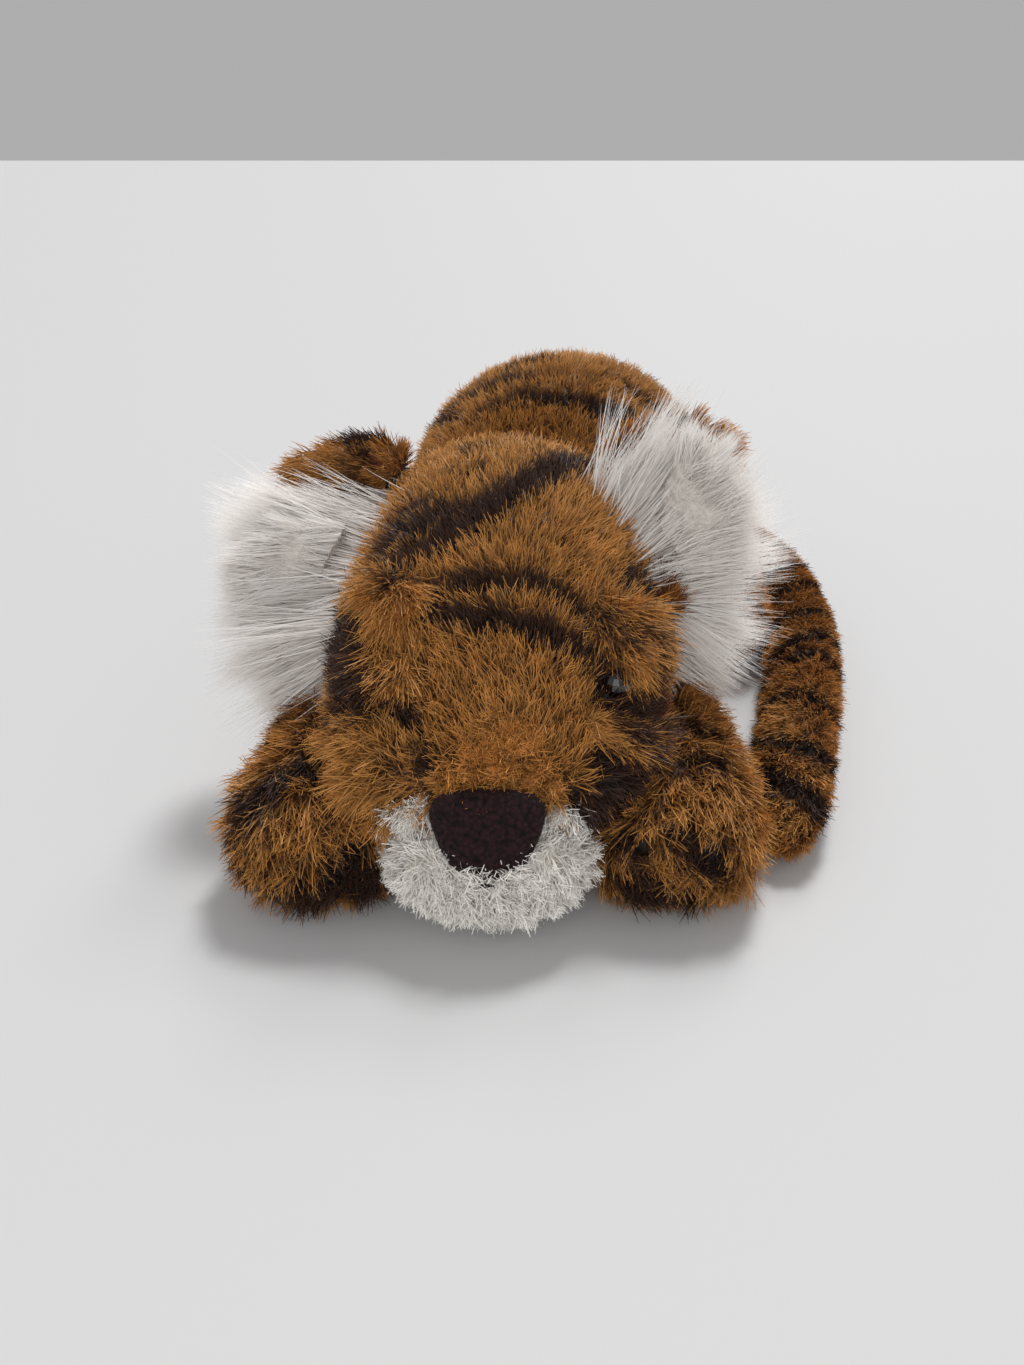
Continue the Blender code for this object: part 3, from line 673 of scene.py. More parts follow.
def to_clumps(roots, gap, chance):
    """The way from each root to the middle of its clump, and the clump's number."""
    tilt = Matrix.Rotation(0.6, 3, "X") @ Matrix.Rotation(0.7, 3, "Z")
    blocks = roots @ np.array(tilt) + chance.normal(0, 0.2 * gap, roots.shape)
    labels = np.unique(np.floor(blocks / gap).astype(int), axis=0, return_inverse=True)[1].ravel()
    sizes = np.bincount(labels)
    middles = np.stack([np.bincount(labels, roots[:, i]) / sizes for i in range(3)], axis=1)
    return middles[labels] - roots, labels


def grow_pile(
    name, skin, count, length, width, seed, material, strokes=(), rings=(), rust=None, only=None,
    combed=None, grade=None, face=None, free=False, stand=0.5, scatter=0.22, droop=0.35, clump=0.5,
    gap=5 * MM, segments=2, curl=0.0, tip=0.25, roll=0.7, coil=0.0, tuft=0.1, shag=0.08,
):
    """Grows one piece of pile on a skin and keeps on each strand what its colour needs.

    only, combed, grade and rust are functions of place: where strands grow, which way, how
    long, and how rusty. face is the way that the ribbons turn their flat sides, and a free
    strand may lift off the skin. The rest say how the strands stand, bend, clump and taper.
    """
    chance = np.random.default_rng(seed)
    roots, up, comb = plant(skin, count, chance, only)
    if combed is not None:
        comb = unit(combed(roots) + (0.12 if free else 0.4) * comb)
    ways, labels = to_clumps(roots, gap, chance)
    tufts = chance.normal(0, 1, (labels.max() + 1, 4))[labels]
    luck = np.clip(0.75 * chance.random(count) + 0.25 * (0.5 + 0.4 * tufts[:, 3]), 0, 1)
    reach = (length * (0.72 + 0.4 * luck) * (1 + shag * tufts[:, 3]))[:, None]
    if not free:
        comb = comb - up * (comb * up).sum(axis=1, keepdims=True)
    lean = up * stand + comb * (1 - stand) + tufts[:, :3] * tuft
    lean = unit(lean + chance.normal(0, scatter, (count, 3)))
    if grade is not None:
        reach *= grade(roots)[:, None]
    room = np.where(lean > 0, PILE_LIMIT[1] - roots, roots - PILE_LIMIT[0])
    reach = np.minimum(reach, np.min(room / np.maximum(np.abs(lean), 1e-3), axis=1, keepdims=True))
    first = lean * reach
    bend = comb * reach * droop + ways * clump
    bend += chance.normal(0, 1, (count, 3)) * reach * curl
    flat = up if face is None else face
    side = unit(np.cross(first, flat + chance.normal(0, roll, (count, 3))))
    other = unit(np.cross(side, first))
    pile = blank_ribbons(name, count, segments)
    marks = np.empty(len(pile.data.vertices) * 3)
    pile.data.vertices.foreach_get("co", marks)
    marks = marks.reshape(count, -1, 3)
    across, along = marks[:, :, 0:1], marks[:, :, 1:2] + 0.5
    taper = tip + (1 - tip) * (1 - along) ** 0.7
    places = roots[:, None, :] - ROOT_DEPTH * up[:, None, :] + first[:, None, :] * along
    places = places + bend[:, None, :] * along**2 + side[:, None, :] * across * taper * width / 2
    turn = along * 2 * math.pi * 0.9 + 6.28 * luck[:, None, None]
    places += coil * along * (np.cos(turn) * side[:, None, :] + np.sin(turn) * other[:, None, :])
    places = np.clip(places, PILE_LIMIT[0] - BEND_ROOM, PILE_LIMIT[1] + BEND_ROOM)
    places[:, :, 2] = np.maximum(places[:, :, 2], (0.4 + 0.5 * luck[:, None]) * MM)
    pile.data.vertices.foreach_set("co", places.ravel())
    points = marks.shape[1]
    tops = roots + up * PILE * 0.5
    depth = np.maximum(stroke_depth(tops, strokes), ring_depth(tops, rings))
    keep_fact(pile, "stripe_and_shade", np.repeat(depth, points))
    keep_fact(pile, "luck", np.repeat(luck, points))
    keep_fact(pile, "along", along.ravel())
    keep_fact(pile, "rust", np.repeat(rust(tops) if rust else np.zeros(count), points))
    cells = math.ceil(math.sqrt(count))
    index = np.arange(count)
    cell = np.stack([index % cells, index // cells], axis=1)[:, None, :]
    inside = np.concatenate([across * 0.35 + 0.5, along * 0.8 + 0.1], axis=2)
    spots = ((cell + inside) / cells).reshape(-1, 2)
    turns = np.empty(len(pile.data.loops), int)
    pile.data.loops.foreach_get("vertex_index", turns)
    for old in list(pile.data.uv_layers):
        pile.data.uv_layers.remove(old)
    layer = pile.data.uv_layers.new(name="OFBake")
    layer.uv.foreach_set("vector", spots[turns].astype(np.float32).ravel())
    pile.data.materials.clear()
    pile.data.materials.append(material)
    pile.data.update()
    print(name, "has", count, "strands")
    return pile


print("straight strands end inside", [(corner / MM).round(1).tolist() for corner in PILE_LIMIT])

# %% [markdown]
# The pile is a golden brown plush of polyester fibre. Its colour runs from dark to light along a
# strand: the dark at the root is painted shade, standing for the shade of its neighbours, and the
# light tip is partly the fibre's paler tip and partly painted highlight.
# The dark stripes are nearly black at their middle and browner at their edges, and single
# strands of one colour stand among those of the other, because the dye runs.

# %% The dyed plush
WANDER_MM = 7


def pile_material(
    name, base, tips, dark, dark_tips, rusty, gloss, clear=0.0, sheen=0.06, clouds=0.24
):
    """Dyed pile: its colour runs from painted shade at the root to a light tip, and its stripes
    come from the strand's facts.

    The share called clear is the light that passes through a strand to its other side.
    """
    made, tree, shader = new_material(name)
    along, luck, stripe_and_shade, rust = (
        add_node(tree, "ShaderNodeAttribute", attribute_name=fact)
        for fact in ("along", "luck", "stripe_and_shade", "rust")
    )
    place = add_node(tree, "ShaderNodeTexCoord")
    patches = add_node(
        tree, "ShaderNodeTexNoise",
        {"Vector": place.outputs["Object"], "Scale": 1 / (WANDER_MM * MM), "Detail": 2.0},
    )
    # Both mixes run along the strand: their root colours are painted shade, and their tip colours
    # are partly painted highlight.
    gold = add_node(
        tree, "ShaderNodeMix",
        {0: along.outputs["Fac"], 6: linear(base), 7: linear(tips)}, data_type="RGBA",
    )
    shaded = add_node(
        tree, "ShaderNodeMix",
        {0: along.outputs["Fac"], 6: linear(dark), 7: linear(dark_tips)}, data_type="RGBA",
    )
    rusted = add_node(
        tree, "ShaderNodeMix",
        {0: rust.outputs["Fac"], 6: gold.outputs[2], 7: linear(rusty)}, data_type="RGBA",
    )
    ragged = add_node(
        tree, "ShaderNodeMath", {0: patches.outputs["Fac"], 1: 5.0, 2: stripe_and_shade.outputs["Fac"]},
        operation="MULTIPLY_ADD",
    )
    jumpy = add_node(
        tree, "ShaderNodeMath", {0: luck.outputs["Fac"], 1: 2.4, 2: ragged.outputs["Value"]},
        operation="MULTIPLY_ADD",
    )
    inside = add_node(
        tree, "ShaderNodeMapRange",
        {"Value": jumpy.outputs["Value"], "From Min": 2.9, "From Max": 4.4},
        interpolation_type="SMOOTHSTEP",
    )
    striped = add_node(
        tree, "ShaderNodeMix",
        {0: inside.outputs["Result"], 6: rusted.outputs[2], 7: shaded.outputs[2]}, data_type="RGBA",
    )
    lucky = add_node(
        tree, "ShaderNodeMapRange", {"Value": luck.outputs["Fac"], "To Min": 0.88, "To Max": 1.15}
    )
    cloudy = add_node(
        tree, "ShaderNodeMapRange",
        {"Value": patches.outputs["Fac"], "From Min": 0.3, "From Max": 0.7, "To Min": 1 + clouds,
         "To Max": 1 - clouds},
    )
    toned = add_node(
        tree, "ShaderNodeMath", {0: lucky.outputs["Result"], 1: cloudy.outputs["Result"]},
        operation="MULTIPLY",
    )
    varied = add_node(
        tree, "ShaderNodeHueSaturation",
        {"Value": toned.outputs["Value"], "Color": striped.outputs[2]},
    )
    tree.links.new(varied.outputs["Color"], shader.inputs["Base Color"])
    shader.inputs["Roughness"].default_value = gloss
    shader.inputs["Specular IOR Level"].default_value = 0.3
    shader.inputs["Sheen Weight"].default_value = sheen
    shader.inputs["Sheen Roughness"].default_value = 0.5
    if clear:
        through = add_node(tree, "ShaderNodeBsdfTranslucent", {"Color": varied.outputs["Color"]})
        both = add_node(
            tree, "ShaderNodeMixShader",
            {0: clear, 1: shader.outputs["BSDF"], 2: through.outputs["BSDF"]},
        )
        tree.links.new(both.outputs["Shader"], tree.nodes["Material Output"].inputs["Surface"])
    return made


# Polyester plush: a soft shine along the strands, dark at the root with painted shade between them,
# and light at the tip, partly painted highlight.
golden_plush = pile_material(
    "golden_plush", "#46260c", "#d4964c", "#120a06", "#45291a", "#6a3219", 0.5
)
# Long acrylic hair: silky, and it lets some light through, so it glows where it is thin. Its root
# is a little greyer than its tip, painted shade.
white_hair = pile_material(
    "long_white_hair", "#efe9e3", "#fcf9f6", "#cfc8c2", "#f4f0ee", "#d8bfb2", 0.4, 0.2, 0.7, 0.0
)
# Curled acrylic pile: matt like wool, because its curls turn every way, and a little greyer at the
# root, painted shade.
white_curls = pile_material(
    "curly_white_pile", "#f0ebe2", "#fdfaf4", "#b9ada0", "#efe6da", "#cbb9a6", 0.6, 0.0, 0.9, 0.05
)
print("materials:", [m.name for m in bpy.data.materials])

# %% [markdown]
# Where one form lies on another, as a thigh on the belly, the pile between them is pressed
# flat and unseen, so few strands are planted there. A point counts as hidden when it lies
# inside another form. The brows, the bridge, the jowls and the haunch are mounds of stuffing,
# so the skins are swollen there first.

# %% Comb and density for each skin
HIDDEN_SEARCH = 0.05
THIN_BELOW = 12 * MM


def depth_in(points, skin):
    """How far, in mm, each point lies inside a skin, and below 0 outside it."""
    form = bmesh.new()
    form.from_mesh(skin.data)
    tree = BVHTree.FromBMesh(form)
    form.free()
    depths = np.empty(len(points))
    for i, point in enumerate(points):
        near_point, normal, _, gap = tree.find_nearest(Vector(point), HIDDEN_SEARCH)
        if near_point is None:
            depths[i] = -50
        else:
            depths[i] = gap / MM * (1 if (near_point - Vector(point)).dot(normal) > 0 else -1)
    return depths


def wander(points, size_mm, seed):
    """A smooth random field of vectors over the points."""
    from_place = np.array([7.3, 1.9, 4.1]) * seed
    chance = points / (size_mm * MM) + from_place
    return np.stack(
        [
            np.sin(chance @ [1.0, 0.7, -0.4] + 2 * np.sin(chance @ [0.3, -1.1, 0.8])),
            np.sin(chance @ [-0.6, 1.0, 0.5] + 2 * np.sin(chance @ [0.9, 0.2, -1.0])),
            np.sin(chance @ [0.4, -0.5, 1.1] + 2 * np.sin(chance @ [-0.8, 1.0, 0.3])),
        ],
        axis=1,
    )


def set_facts(skin, comb, others=(), loose=0.3, seed=1):
    """Stores the comb and the thickness of the pile on a skin."""
    places, normals = points_of(skin)
    ways = unit(comb(places, normals)) + wander(places, 16, seed) * loose
    keep_fact(skin, "comb", unit(ways))
    hidden = np.full(len(places), -50.0)
    for other in others:
        hidden = np.maximum(hidden, depth_in(places + normals * PILE, other))
    under = np.clip(-normals[:, 2], 0, 1) * np.clip(1 - places[:, 2] / THIN_BELOW, 0, 1)
    share = np.where(hidden > 1, 0.3, 1) * (1 - 0.55 * under)
    keep_fact(skin, "thick", share)


def way(*vector):
    """A comb that is the same all over."""
    return lambda places, normals=None: np.tile(np.array(vector, float), (len(places), 1))


TAIL_LINE = MM * np.array([
    (12, 173, 22), (60, 172, 22), (104, 146, 22), (128, 100, 22), (134, 50, 22), (130, 0, 22),
    (116, -50, 22), (98, -100, 20), (80, -150, 20),
], float)


def along_tail(places, normals):
    """The comb of the tail: towards its tip."""
    best = np.full(len(places), 9.0)
    ways = np.zeros_like(places)
    for start, end in zip(TAIL_LINE[:-1], TAIL_LINE[1:]):
        share = np.clip((places - start) @ (end - start) / ((end - start) ** 2).sum(), 0, 1)
        away = np.linalg.norm(places - start - share[:, None] * (end - start), axis=1)
        closer = away < best
        best[closer] = away[closer]
        ways[closer] = end - start
    return ways


HEAD_MIDDLE = -33.6 * MM


def over_head(places, normals):
    """The comb of the head: back from the nose, and outwards and down on the jowls."""
    middle = HEAD_MIDDLE
    aside = (places[:, 0] - middle) / (60 * MM)
    front = np.clip((-places[:, 1] / MM - 120) / 50, 0, 1)
    low = np.clip((75 - places[:, 2] / MM) / 30, 0, 1)
    ways = np.stack([aside * 0.6, 1 - 1.2 * front * low, 0.25 - 1.1 * low], axis=1)
    return ways


EYES = ((8, -147, 84, 4.0),)
LIPS = (
    (-71, -183, 45, 5.5), (-66, -185, 45, 5), (-76, -178, 37, 6.5),
    (-13, -183, 44, 5), (-17, -185, 44, 4.5), (-10, -178, 34, 6),
)
NOSE_LOW, NOSE_HIGH = (np.array(corner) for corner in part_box("nose"))
NOSE_DROP = 6.5 * MM
NOSE_COVERS_SHARE = 0.86


def off_the_nose(places):
    """A weight that is 0 under the pad of the nose, a shield in outline, and 1 elsewhere."""
    middle, half = (NOSE_HIGH[0] + NOSE_LOW[0]) / 2, (NOSE_HIGH[0] - NOSE_LOW[0]) / 2
    share = (NOSE_HIGH[2] + 2.5 * MM - places[:, 2]) / (NOSE_HIGH[2] - NOSE_LOW[2] + NOSE_DROP)
    width = half * np.sqrt(1 - np.clip((share - 0.35) / 0.65, 0, 1) ** 2)
    under = (share > 0) & (share < NOSE_COVERS_SHARE) & (np.abs(places[:, 0] - middle) < width)
    return 1.0 - (under & (places[:, 1] < NOSE_HIGH[1] + 1 * MM))


def bare_face(places):
    """A weight that is 0 where no golden strand grows: on the right eye, the lips and the nose."""
    away = [np.linalg.norm(places / MM - spot[:3], axis=1) - spot[3] for spot in EYES + LIPS]
    return (np.min(away, axis=0) > 0) * off_the_nose(places)


FACE_MOUNDS = [
    ((13, -129, 99), 11, 6.5), ((-82, -116, 108), 11, 6),
    ((8, -147, 80), 10, 2.5), ((-80, -148, 81), 10, 2.5),
    ((-36, -168, 70), 14, 3.5),
    ((-76, -163, 54), 13, 4), ((14, -162, 52), 13, 4),
    ((-36, -150, 92), 16, -1.5),
]
HAUNCH_MOUNDS = [((98, 22, 30), 20, 8), ((96, 44, 34), 18, 4)]
swell(skins["head"], FACE_MOUNDS)
swell(skins["right_hind_leg"], HAUNCH_MOUNDS)
set_facts(skins["torso"], way(0.1, 1, -0.35), [skins[n] for n in skins if n != "torso"], seed=1)
set_facts(skins["head"], over_head, [skins["torso"]], seed=2)
set_facts(skins["tail"], along_tail, [skins["torso"]], seed=3)
for index, leg in enumerate(LEGS):
    set_facts(skins[leg], way(0, -1, -0.3), [skins["torso"], skins["head"]], seed=4 + index)
print("facts on", sorted(skins))

# %% Grow the golden pile
STRAND = 0.66 * MM


def jowl_rust(points):
    """Where the cloth of the head is russet: round the right eye and down the cheek."""
    by_the_eye = near(points, (18, -147, 70), 10) + near(points, (29, -140, 66), 8) * 1.5
    return np.clip(by_the_eye + near(points, (37, -86, 98), 9) * 1.4, 0, 1)


# Each row: pieces, strands in each, faces along one, length in mm, tuft, strokes, rings, rust.
GOLDEN = {
    "torso": (2, 50000, 1, 7.0, 0.1, TORSO_STROKES, (), None),
    "head": (2, 41000, 2, 7.8, 0.16, HEAD_STROKES, (), jowl_rust),
    "tail": (1, 60000, 1, 6.2, 0.08, (), TAIL_RINGS, None),
    "left_front_leg": (1, 32000, 2, 10.0, 0.24, LEFT_FRONT_STROKES, (), None),
    "right_front_leg": (1, 32000, 2, 10.0, 0.24, RIGHT_FRONT_STROKES, (), None),
    "left_hind_leg": (1, 38000, 1, 8.0, 0.14, HIND_STROKES["left_hind_leg"], (), None),
    "right_hind_leg": (1, 38000, 1, 8.0, 0.14, HIND_STROKES["right_hind_leg"], (), None),
}
piles = {}
laid_strokes = {}
for place, (pieces, count, parts, length, tuft, strokes, rings, rust) in GOLDEN.items():
    laid_strokes[place] = laid_on(place, strokes)
    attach(skins[place], place)
    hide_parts(place)
    # With no along fact of its own, the skin under the pile takes the colour of a strand's root:
    # painted shade between the strands.
    skins[place].data.materials.clear()
    skins[place].data.materials.append(golden_plush)
    places, normals = points_of(skins[place])
    tops = places + normals * PILE * 0.5
    depth = np.maximum(stroke_depth(tops, laid_strokes[place]), ring_depth(tops, rings))
    keep_fact(skins[place], "stripe_and_shade", depth)
    keep_fact(skins[place], "rust", rust(tops) if rust else np.zeros(len(tops)))
    for number in range(pieces):
        name = f"{place}_pile_{number + 1}"
        piles[name] = grow_pile(
            name, skins[place], count, length * MM, STRAND, 11 + number + 10 * len(piles),
            golden_plush, laid_strokes[place], rings, rust,
            only=bare_face if place == "head" else None, segments=parts, scatter=0.2,
            clump=1.4 if "leg" in place else 0.9, gap=5.5 * MM, curl=0.1, tuft=tuft,
        )
        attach(piles[name], place)

# %% [markdown]
# On the brows, the bridge of the nose and the jowls the pile is longer and hangs in locks.
# The brows hang over the eyes, so only a glint of an eye shows. These locks are pieces of
# their own, planted only near their spots and combed their own way.

# %% Brows, bridge and jowls


def spots(*centres):
    """A weight that is 1 at each centre, with its radius, both in mm, and 0 far from them all."""

    def weight(places):
        total = sum(near(places, centre, radius) for centre, radius in centres)
        return np.clip(total - 0.12, 0, 1) * bare_face(places)

    return weight


# Each row: strands, length in mm, comb, where they grow, stand, and the clumps' spacing in mm.
LOCKS = {
    "brow_locks": (
        14000, 15, (0.0, -0.62, -0.78),
        spots(((8, -126, 105), 8), ((16, -125, 99), 6.5), ((-77, -119, 110), 7),
              ((10, -137, 96), 5), ((-83, -140, 92), 6.5), ((-79, -143, 94), 6)),
        0.34, 6.5,
    ),
    "bridge_locks": (
        8000, 8.5, (0.0, -0.8, 0.3),
        spots(((-50, -180, 63), 8), ((-36, -182, 64), 9), ((-22, -180, 63), 8),
              ((-36, -172, 71), 10)),
        0.55, 6,
    ),
    "cheek_locks": (
        3500, 12, (0.25, -0.6, 0.75),
        spots(((36, -86, 99), 5), ((38, -92, 90), 5)),
        0.4, 5,
    ),
    "jowl_locks": (
        11000, 11.5, None,
        spots(((-93, -156, 70), 11), ((-92, -168, 54), 11), ((-84, -175, 44), 8),
              ((1, -162, 77), 7), ((12, -157, 72), 8), ((25, -150, 62), 8)),
        0.5, 8,
    ),
}


def down_the_jowl(roots):
    aside = np.sign(roots[:, 0] - HEAD_MIDDLE)
    return np.stack([aside * 0.7, -0.25 * np.ones(len(roots)), -0.9 * np.ones(len(roots))], axis=1)


for name, (count, length, combing, weight, stand, gap) in LOCKS.items():
    piles[name] = grow_pile(
        name, skins["head"], count, length * MM, STRAND, 301 + count, golden_plush,
        laid_strokes["head"], rust=jowl_rust, only=weight,
        combed=way(*combing) if combing else down_the_jowl, stand=stand, scatter=0.17, clump=1.5,
        gap=gap * MM, curl=0.18, segments=3, droop=0.3, tuft=0.24,
    )
    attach(piles[name], "head")

# %% [markdown]
# The chin and lips are a separate bowl of white pile, so tightly curled that it looks like
# lamb's wool. The same ribbons do, shorter, and each bent in a direction of its own.

# %% The curly chin
CURLS = {
    "scatter": 0.28, "droop": 0.15, "clump": 1.3, "gap": 4.6 * MM, "curl": 0.16, "tip": 0.5,
    "segments": 3, "coil": 0.7 * MM, "roll": 1.2, "tuft": 0.5,
}
skins["muzzle"] = knit_skin("muzzle_skin", "muzzle", 1.8 * MM, voxel=3 * MM)
set_facts(skins["muzzle"], way(0, -0.3, -1), [skins["head"]], loose=0.8, seed=9)
piles["muzzle_pile"] = grow_pile(
    "muzzle_pile", skins["muzzle"], 26500, 6.2 * MM, 0.55 * MM, 61, white_curls,
    stand=0.75, only=off_the_nose, **CURLS,
)


def on_the_lips(places):
    away = [np.linalg.norm(places / MM - spot[:3], axis=1) - spot[3] for spot in LIPS]
    return (np.min(away, axis=0) < 1.5) * off_the_nose(places)


piles["lip_pile"] = grow_pile(
    "lip_pile", skins["head"], 6000, 7.5 * MM, 0.55 * MM, 62, white_curls,
    stand=0.8, only=on_the_lips, **CURLS,
)
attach(piles["lip_pile"], "head")

# %% [markdown]
# The nose is a pad of short-nap cloth. Its surface is pebbled where the nap stands in little
# groups, which a bump at a pebble's spacing gives, with painted shade in the pits.

# %% The nose
PEBBLE_MM = 1.6
TABLE_GAP = 0.2 * MM
NOSE_FORWARD = 2.5 * MM


def cloth_material(name, low, high, roughness, spacing_mm, bump_mm, sheen):
    """Short-nap cloth: pebbles of nap, with painted shade in the pits between them."""
    made, tree, shader = new_material(name)
    place = add_node(tree, "ShaderNodeTexCoord")
    pebbles = add_node(
        tree, "ShaderNodeTexVoronoi",
        {"Vector": place.outputs["Object"], "Scale": 1 / (spacing_mm * MM)}, feature="SMOOTH_F1",
    )
    fuzz = add_node(
        tree, "ShaderNodeTexNoise",
        {"Vector": place.outputs["Object"], "Scale": 2.5 / (spacing_mm * MM), "Detail": 4.0},
    )
    mixed = add_node(
        tree, "ShaderNodeMath", {0: fuzz.outputs["Fac"], 1: 0.6, 2: pebbles.outputs["Distance"]},
        operation="MULTIPLY_ADD",
    )
    tone = add_node(
        tree, "ShaderNodeMapRange",
        {"Value": mixed.outputs["Value"], "From Min": 0.3, "From Max": 1.0},
    )
    # The low colour lies in the pits between the pebbles: painted shade.
    colour = add_node(
        tree, "ShaderNodeMix", {0: tone.outputs["Result"], 6: linear(high), 7: linear(low)},
        data_type="RGBA",
    )
    relief = add_node(
        tree, "ShaderNodeBump",
        {"Height": mixed.outputs["Value"], "Distance": bump_mm * MM, "Strength": 1.0}, invert=True,
    )
    tree.links.new(colour.outputs[2], shader.inputs["Base Color"])
    tree.links.new(relief.outputs["Normal"], shader.inputs["Normal"])
    shader.inputs["Roughness"].default_value = roughness
    shader.inputs["Specular IOR Level"].default_value = 0.2
    shader.inputs["Sheen Weight"].default_value = sheen
    return made


# Knitted backings: off-white and matt, so no glint shows between the strands above them.
white_backing = cloth_material("white_pile_backing", "#d8d2c8", "#f6f1ea", 0.9, 2.4, 1.2, 0.2)
# The ruff's backing is a shade greyer than the muzzle's, painted shade that matches the hair round
# it.
shaded_knit_backing = cloth_material("white_knit_backing", "#d5cfc6", "#f4efe8", 0.9, 2.4, 1.2, 0.15)
# Brushed polyester on the nose: its short nap drinks light, and painted shade makes it almost black
# in the pits.
nose_suede = cloth_material("nose_suede_cloth", "#0f0607", "#3a2023", 0.85, PEBBLE_MM, 0.9, 0.05)
# The same cloth in russet lines the ears: its pebbles of nap are painted paler, a highlight where
# the nap catches light, and its pits hold painted shade.
russet_nap = cloth_material("russet_short_nap", "#43190c", "#8c4a2c", 0.8, 1.2, 0.6, 0.4)
# Close-woven cotton for soles and bags, dull and even. Its weave is drawn coarser than it is.
sole_cloth = cloth_material("brown_sole_cloth", "#2c1a12", "#4d3022", 0.85, 0.9, 0.2, 0.2)
bag_cloth = cloth_material("white_bag_cloth", "#a9a49c", "#ddd9d0", 0.8, 0.8, 0.15, 0.1)


def soft_copy(name, node, grown, voxel, material, body):
    """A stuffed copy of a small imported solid, with its edges rounded."""
    item = object_from(welded_copy(node), name)
    form = knitted(item, voxel, 3)
    for vert in form.verts:
        vert.co += vert.normal * grown
        vert.co.z = max(vert.co.z, TABLE_GAP)
    written_back(form, item)
    item.data.materials.clear()
    item.data.materials.append(material)
    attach(item, body)
    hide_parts(node)
    return item


nose = soft_copy("nose_pad", "nose", 0.6 * MM, 1.2 * MM, nose_suede, "head")
for vert in nose.data.vertices:
    share = (NOSE_HIGH[2] - vert.co.z) / (NOSE_HIGH[2] - NOSE_LOW[2])
    vert.co.z -= NOSE_DROP * share
    vert.co.y -= NOSE_FORWARD * share

# %% [markdown]
# The soles, the belly panel and the bags of pellets are plain sewn pieces. Only the soles
# and the panel can be seen, from below.

# %% Soles, belly panel and pellet bags
for leg in LEGS:
    foot = leg.replace("_leg", "")
    soft_copy(foot + "_sole_cloth", foot + "_sole", 0, 1.1 * MM, sole_cloth, leg)
    soft_copy(
        foot + "_pellets", foot + "_pellet_bag", -0.4 * MM, 1.8 * MM, bag_cloth, leg,
    )
soft_copy("belly_panel_cloth", "belly_panel", 0, 1.3 * MM, sole_cloth, "torso")
soft_copy(
    "belly_pellets", "belly_pellet_bag", -0.4 * MM, 2 * MM, bag_cloth, "torso"
)

# %% [markdown]
# Each ear is a furry back with a lining of short russet nap. The back gets pile like the
# rest of the toy, combed from the head to the tip, and dark near the head.

# %% The ears
EAR_ROOTS = {"left_ear": (-82, -38, 134), "right_ear": (14, -38, 138)}
EAR_DARK = {
    "left_ear": [(11.0, [(-100, -38, 114), (-97, -38, 132), (-94, -38, 150)]),
                 (6.0, [(-84, -38, 116), (-83, -38, 136)])],
    "right_ear": [(11.0, [(30, -38, 118), (34, -38, 136), (34, -38, 152)]),
                  (6.0, [(16, -38, 120), (17, -38, 140)])],
}
for ear, root in EAR_ROOTS.items():
    soft_copy(
        ear + "_lining_nap", ear + "_lining", 0.2 * MM, 1.4 * MM, russet_nap, ear
    )
    skins[ear] = knit_skin(ear + "_skin", ear + "_back", 1.2 * MM, voxel=2 * MM, smooths=2)
    outward = np.array(root) * MM

    def from_root(places, normals, outward=outward):
        return places - outward

    lining = bpy.data.objects[ear + "_lining_nap"]
    set_facts(lining, from_root, loose=0.3, seed=22)
    piles[ear + "_lining_pile"] = grow_pile(
        ear + "_lining_pile", lining, 5000, 7.5 * MM, 0.7 * MM, 65 + len(ear), golden_plush,
        EAR_DARK[ear], rust=lambda points: np.full(len(points), 0.2), stand=0.35, tuft=0.3,
    )
    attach(piles[ear + "_lining_pile"], ear)
    set_facts(skins[ear], from_root, loose=0.2, seed=21)
    piles[ear + "_pile"] = grow_pile(
        ear + "_pile", skins[ear], 7000, 9.5 * MM, 0.7 * MM, 71 + len(ear), golden_plush,
        EAR_DARK[ear], stand=0.3, tuft=0.3,
    )

# %% [markdown]
# The cheek ruffs are tufts of long silky white hair. The long hair starts along a seam on
# the side of the head and fans out from it, up at the top and down at the bottom, and
# meets in pointed locks. Behind it a flat stuffed core with shorter hair gives it body, and
# the core's rim is tucked back there, so it doesn't show beside the head.

# %% The ruffs
SKYWARD = (0.0, -0.5, 1.0)
RUFF_DRAW_IN = 11 * MM
TUCK = 12 * MM
# Each row: the side, the lowest and the highest angle of the fan, the hair's length, the seam.
SEAMS = {
    "left_ruff": (
        -1, -42, 16, 56, [(-95, -58, 114), (-104, -76, 100), (-107, -90, 86), (-106, -98, 70)]
    ),
    "right_ruff": (
        1, -72, 74, 48, [(20, -62, 132), (30, -76, 114), (38, -88, 90), (39, -96, 64)]
    ),
}


def along_seam(points, seam):
    """How far down its seam each point is, as a share, and how far away it is, in mm."""
    seam = np.array(seam, float) * MM
    share = np.zeros(len(points))
    best = np.full(len(points), 9.0)
    for number, (start, end) in enumerate(zip(seam[:-1], seam[1:])):
        along = np.clip((points - start) @ (end - start) / ((end - start) ** 2).sum(), 0, 1)
        away = np.linalg.norm(points - start - along[:, None] * (end - start), axis=1)
        closer = away < best
        best[closer] = away[closer]
        share[closer] = (number + along[closer]) / (len(seam) - 1)
    return share, best / MM


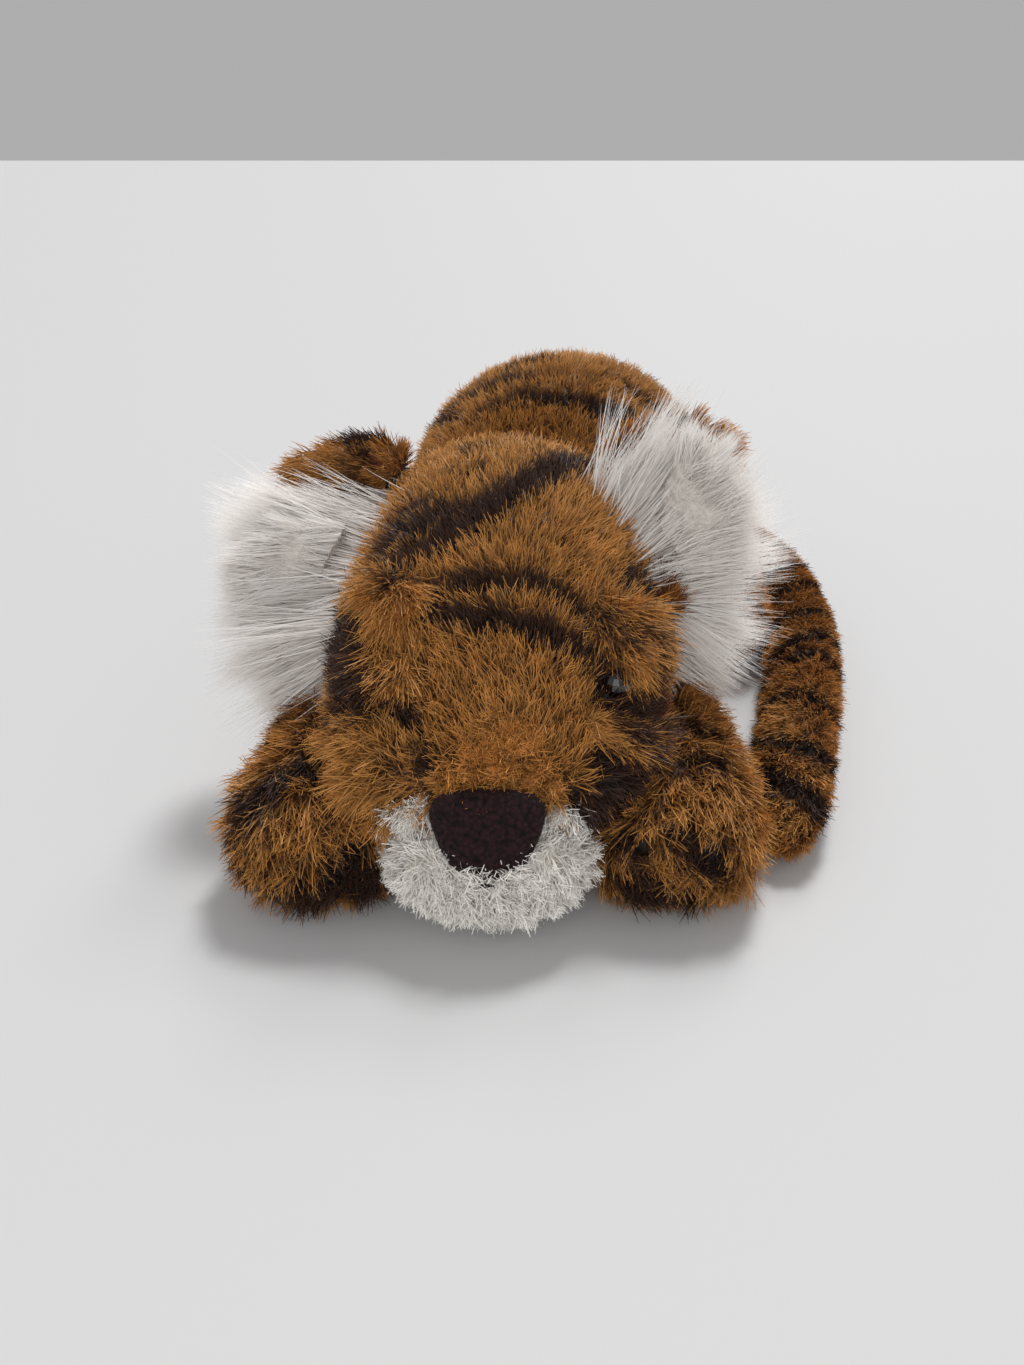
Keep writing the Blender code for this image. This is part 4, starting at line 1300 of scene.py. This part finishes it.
for ruff, (side, lowest, highest, hair, seam) in SEAMS.items():
    skins[ruff] = knit_skin(ruff + "_skin", ruff, RUFF_DRAW_IN, voxel=2.5 * MM, smooths=2)
    places = points_of(skins[ruff])[0]
    tucked = TUCK * (0.3 + np.exp(-((along_seam(places, seam)[1] / 20) ** 2)))
    for vert, back in zip(skins[ruff].data.vertices, tucked):
        vert.co.y += back

    def fanned(places, normals=None, side=side, lowest=lowest, highest=highest, seam=seam):
        share = along_seam(places, seam)[0]
        angle = np.radians(highest + (lowest - highest) * share ** (1.3 if side > 0 else 1.2))
        return np.stack([side * np.cos(angle), 0.05 + 0.1 * share, np.sin(angle)], axis=1)

    def shorter_below(places, seam=seam, side=side):
        share = along_seam(places, seam)[0]
        return 1 - (0.42 if side > 0 else 0.15) * share - 0.25 * (share < 0.15)

    def by_the_seam(places, seam=seam):
        return np.exp(-((along_seam(places, seam)[1] / 9) ** 2))

    set_facts(skins[ruff], fanned, loose=0.12, seed=31)
    piles[ruff + "_hair"] = grow_pile(
        ruff + "_hair", skins["head"], 12500, hair * MM, 0.5 * MM, 81 + len(ruff), white_hair,
        stand=0.05, scatter=0.06, droop=0.06, clump=1.3, gap=8 * MM, segments=4, curl=0.05, tip=0.1,
        only=by_the_seam, combed=fanned, roll=0.5, free=True, grade=shorter_below, face=SKYWARD,
        shag=0.3, tuft=0.16,
    )
    piles[ruff + "_under_hair"] = grow_pile(
        ruff + "_under_hair", skins[ruff], 7500, (20 if side < 0 else 16) * MM, 0.55 * MM,
        91 + len(ruff), white_hair, stand=0.12, scatter=0.08, droop=0.08, clump=1.2, gap=7 * MM,
        segments=3, curl=0.04, tip=0.12, roll=0.6, combed=fanned, free=True, face=SKYWARD,
        shag=0.2, tuft=0.13,
    )
    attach(piles[ruff + "_hair"], "head")

for place, body in (("muzzle", "head"), ("left_ruff", "head"), ("right_ruff", "head"),
                    ("left_ear", "left_ear"), ("right_ear", "right_ear")):
    skin = skins[place]
    grown = piles[place + ("_under_hair" if "ruff" in place else "_pile")]
    golden = "ear" in place
    skin.data.materials.clear()
    skin.data.materials.append(
        golden_plush if golden else shaded_knit_backing if "ruff" in place else white_backing
    )
    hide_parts(place + "_back" if golden else place)
    # The ears' skin is golden plush at a colour near a strand's root: painted shade between the
    # strands.
    facts = {"stripe_and_shade": OUTSIDE, "rust": 0, "luck": 0.5, "along": 0.15 if golden else 0.8}
    for fact, value in facts.items():
        keep_fact(skin, fact, np.full(len(skin.data.vertices), value))
    for item in (skin, grown):
        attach(item, body)

# %% [markdown]
# The eyes are turned plastic with a clear hard coat, so nearly black and mirror smooth. The
# washers that lock them inside are milky nylon with faint mould marks.

# %% Eyes and washers


def plastic_material(name, low, high, roughness, coat, marks_mm):
    """Moulded plastic with faint waves of tone."""
    made, tree, shader = new_material(name)
    place = add_node(tree, "ShaderNodeTexCoord")
    marks = add_node(
        tree, "ShaderNodeTexNoise",
        {"Vector": place.outputs["Object"], "Scale": 1 / (marks_mm * MM), "Detail": 3.0},
    )
    colour = add_node(
        tree, "ShaderNodeMix", {0: marks.outputs["Fac"], 6: linear(low), 7: linear(high)},
        data_type="RGBA",
    )
    tree.links.new(colour.outputs[2], shader.inputs["Base Color"])
    shader.inputs["Roughness"].default_value = roughness
    shader.inputs["Coat Weight"].default_value = coat
    shader.inputs["Coat Roughness"].default_value = 0.03
    return made


eye_plastic = plastic_material("black_eye_plastic", "#060505", "#140c09", 0.12, 1.0, 6)
washer_nylon = plastic_material("milky_washer_nylon", "#c9c6bd", "#dedbd2", 0.45, 0.0, 4)
for side in ("left", "right"):
    nodes[side + "_eye"].material_slots[0].material = eye_plastic
    nodes[side + "_eye_washer"].material_slots[0].material = washer_nylon
print("eyes and washers carry", eye_plastic.name, "and", washer_nylon.name)

# %% Count the triangles and finish
triangles = sum(
    len(polygon.vertices) - 2
    for item in bpy.context.scene.objects
    if item.type == "MESH"
    for polygon in item.data.polygons
)
print("the object has about", triangles, "triangles")
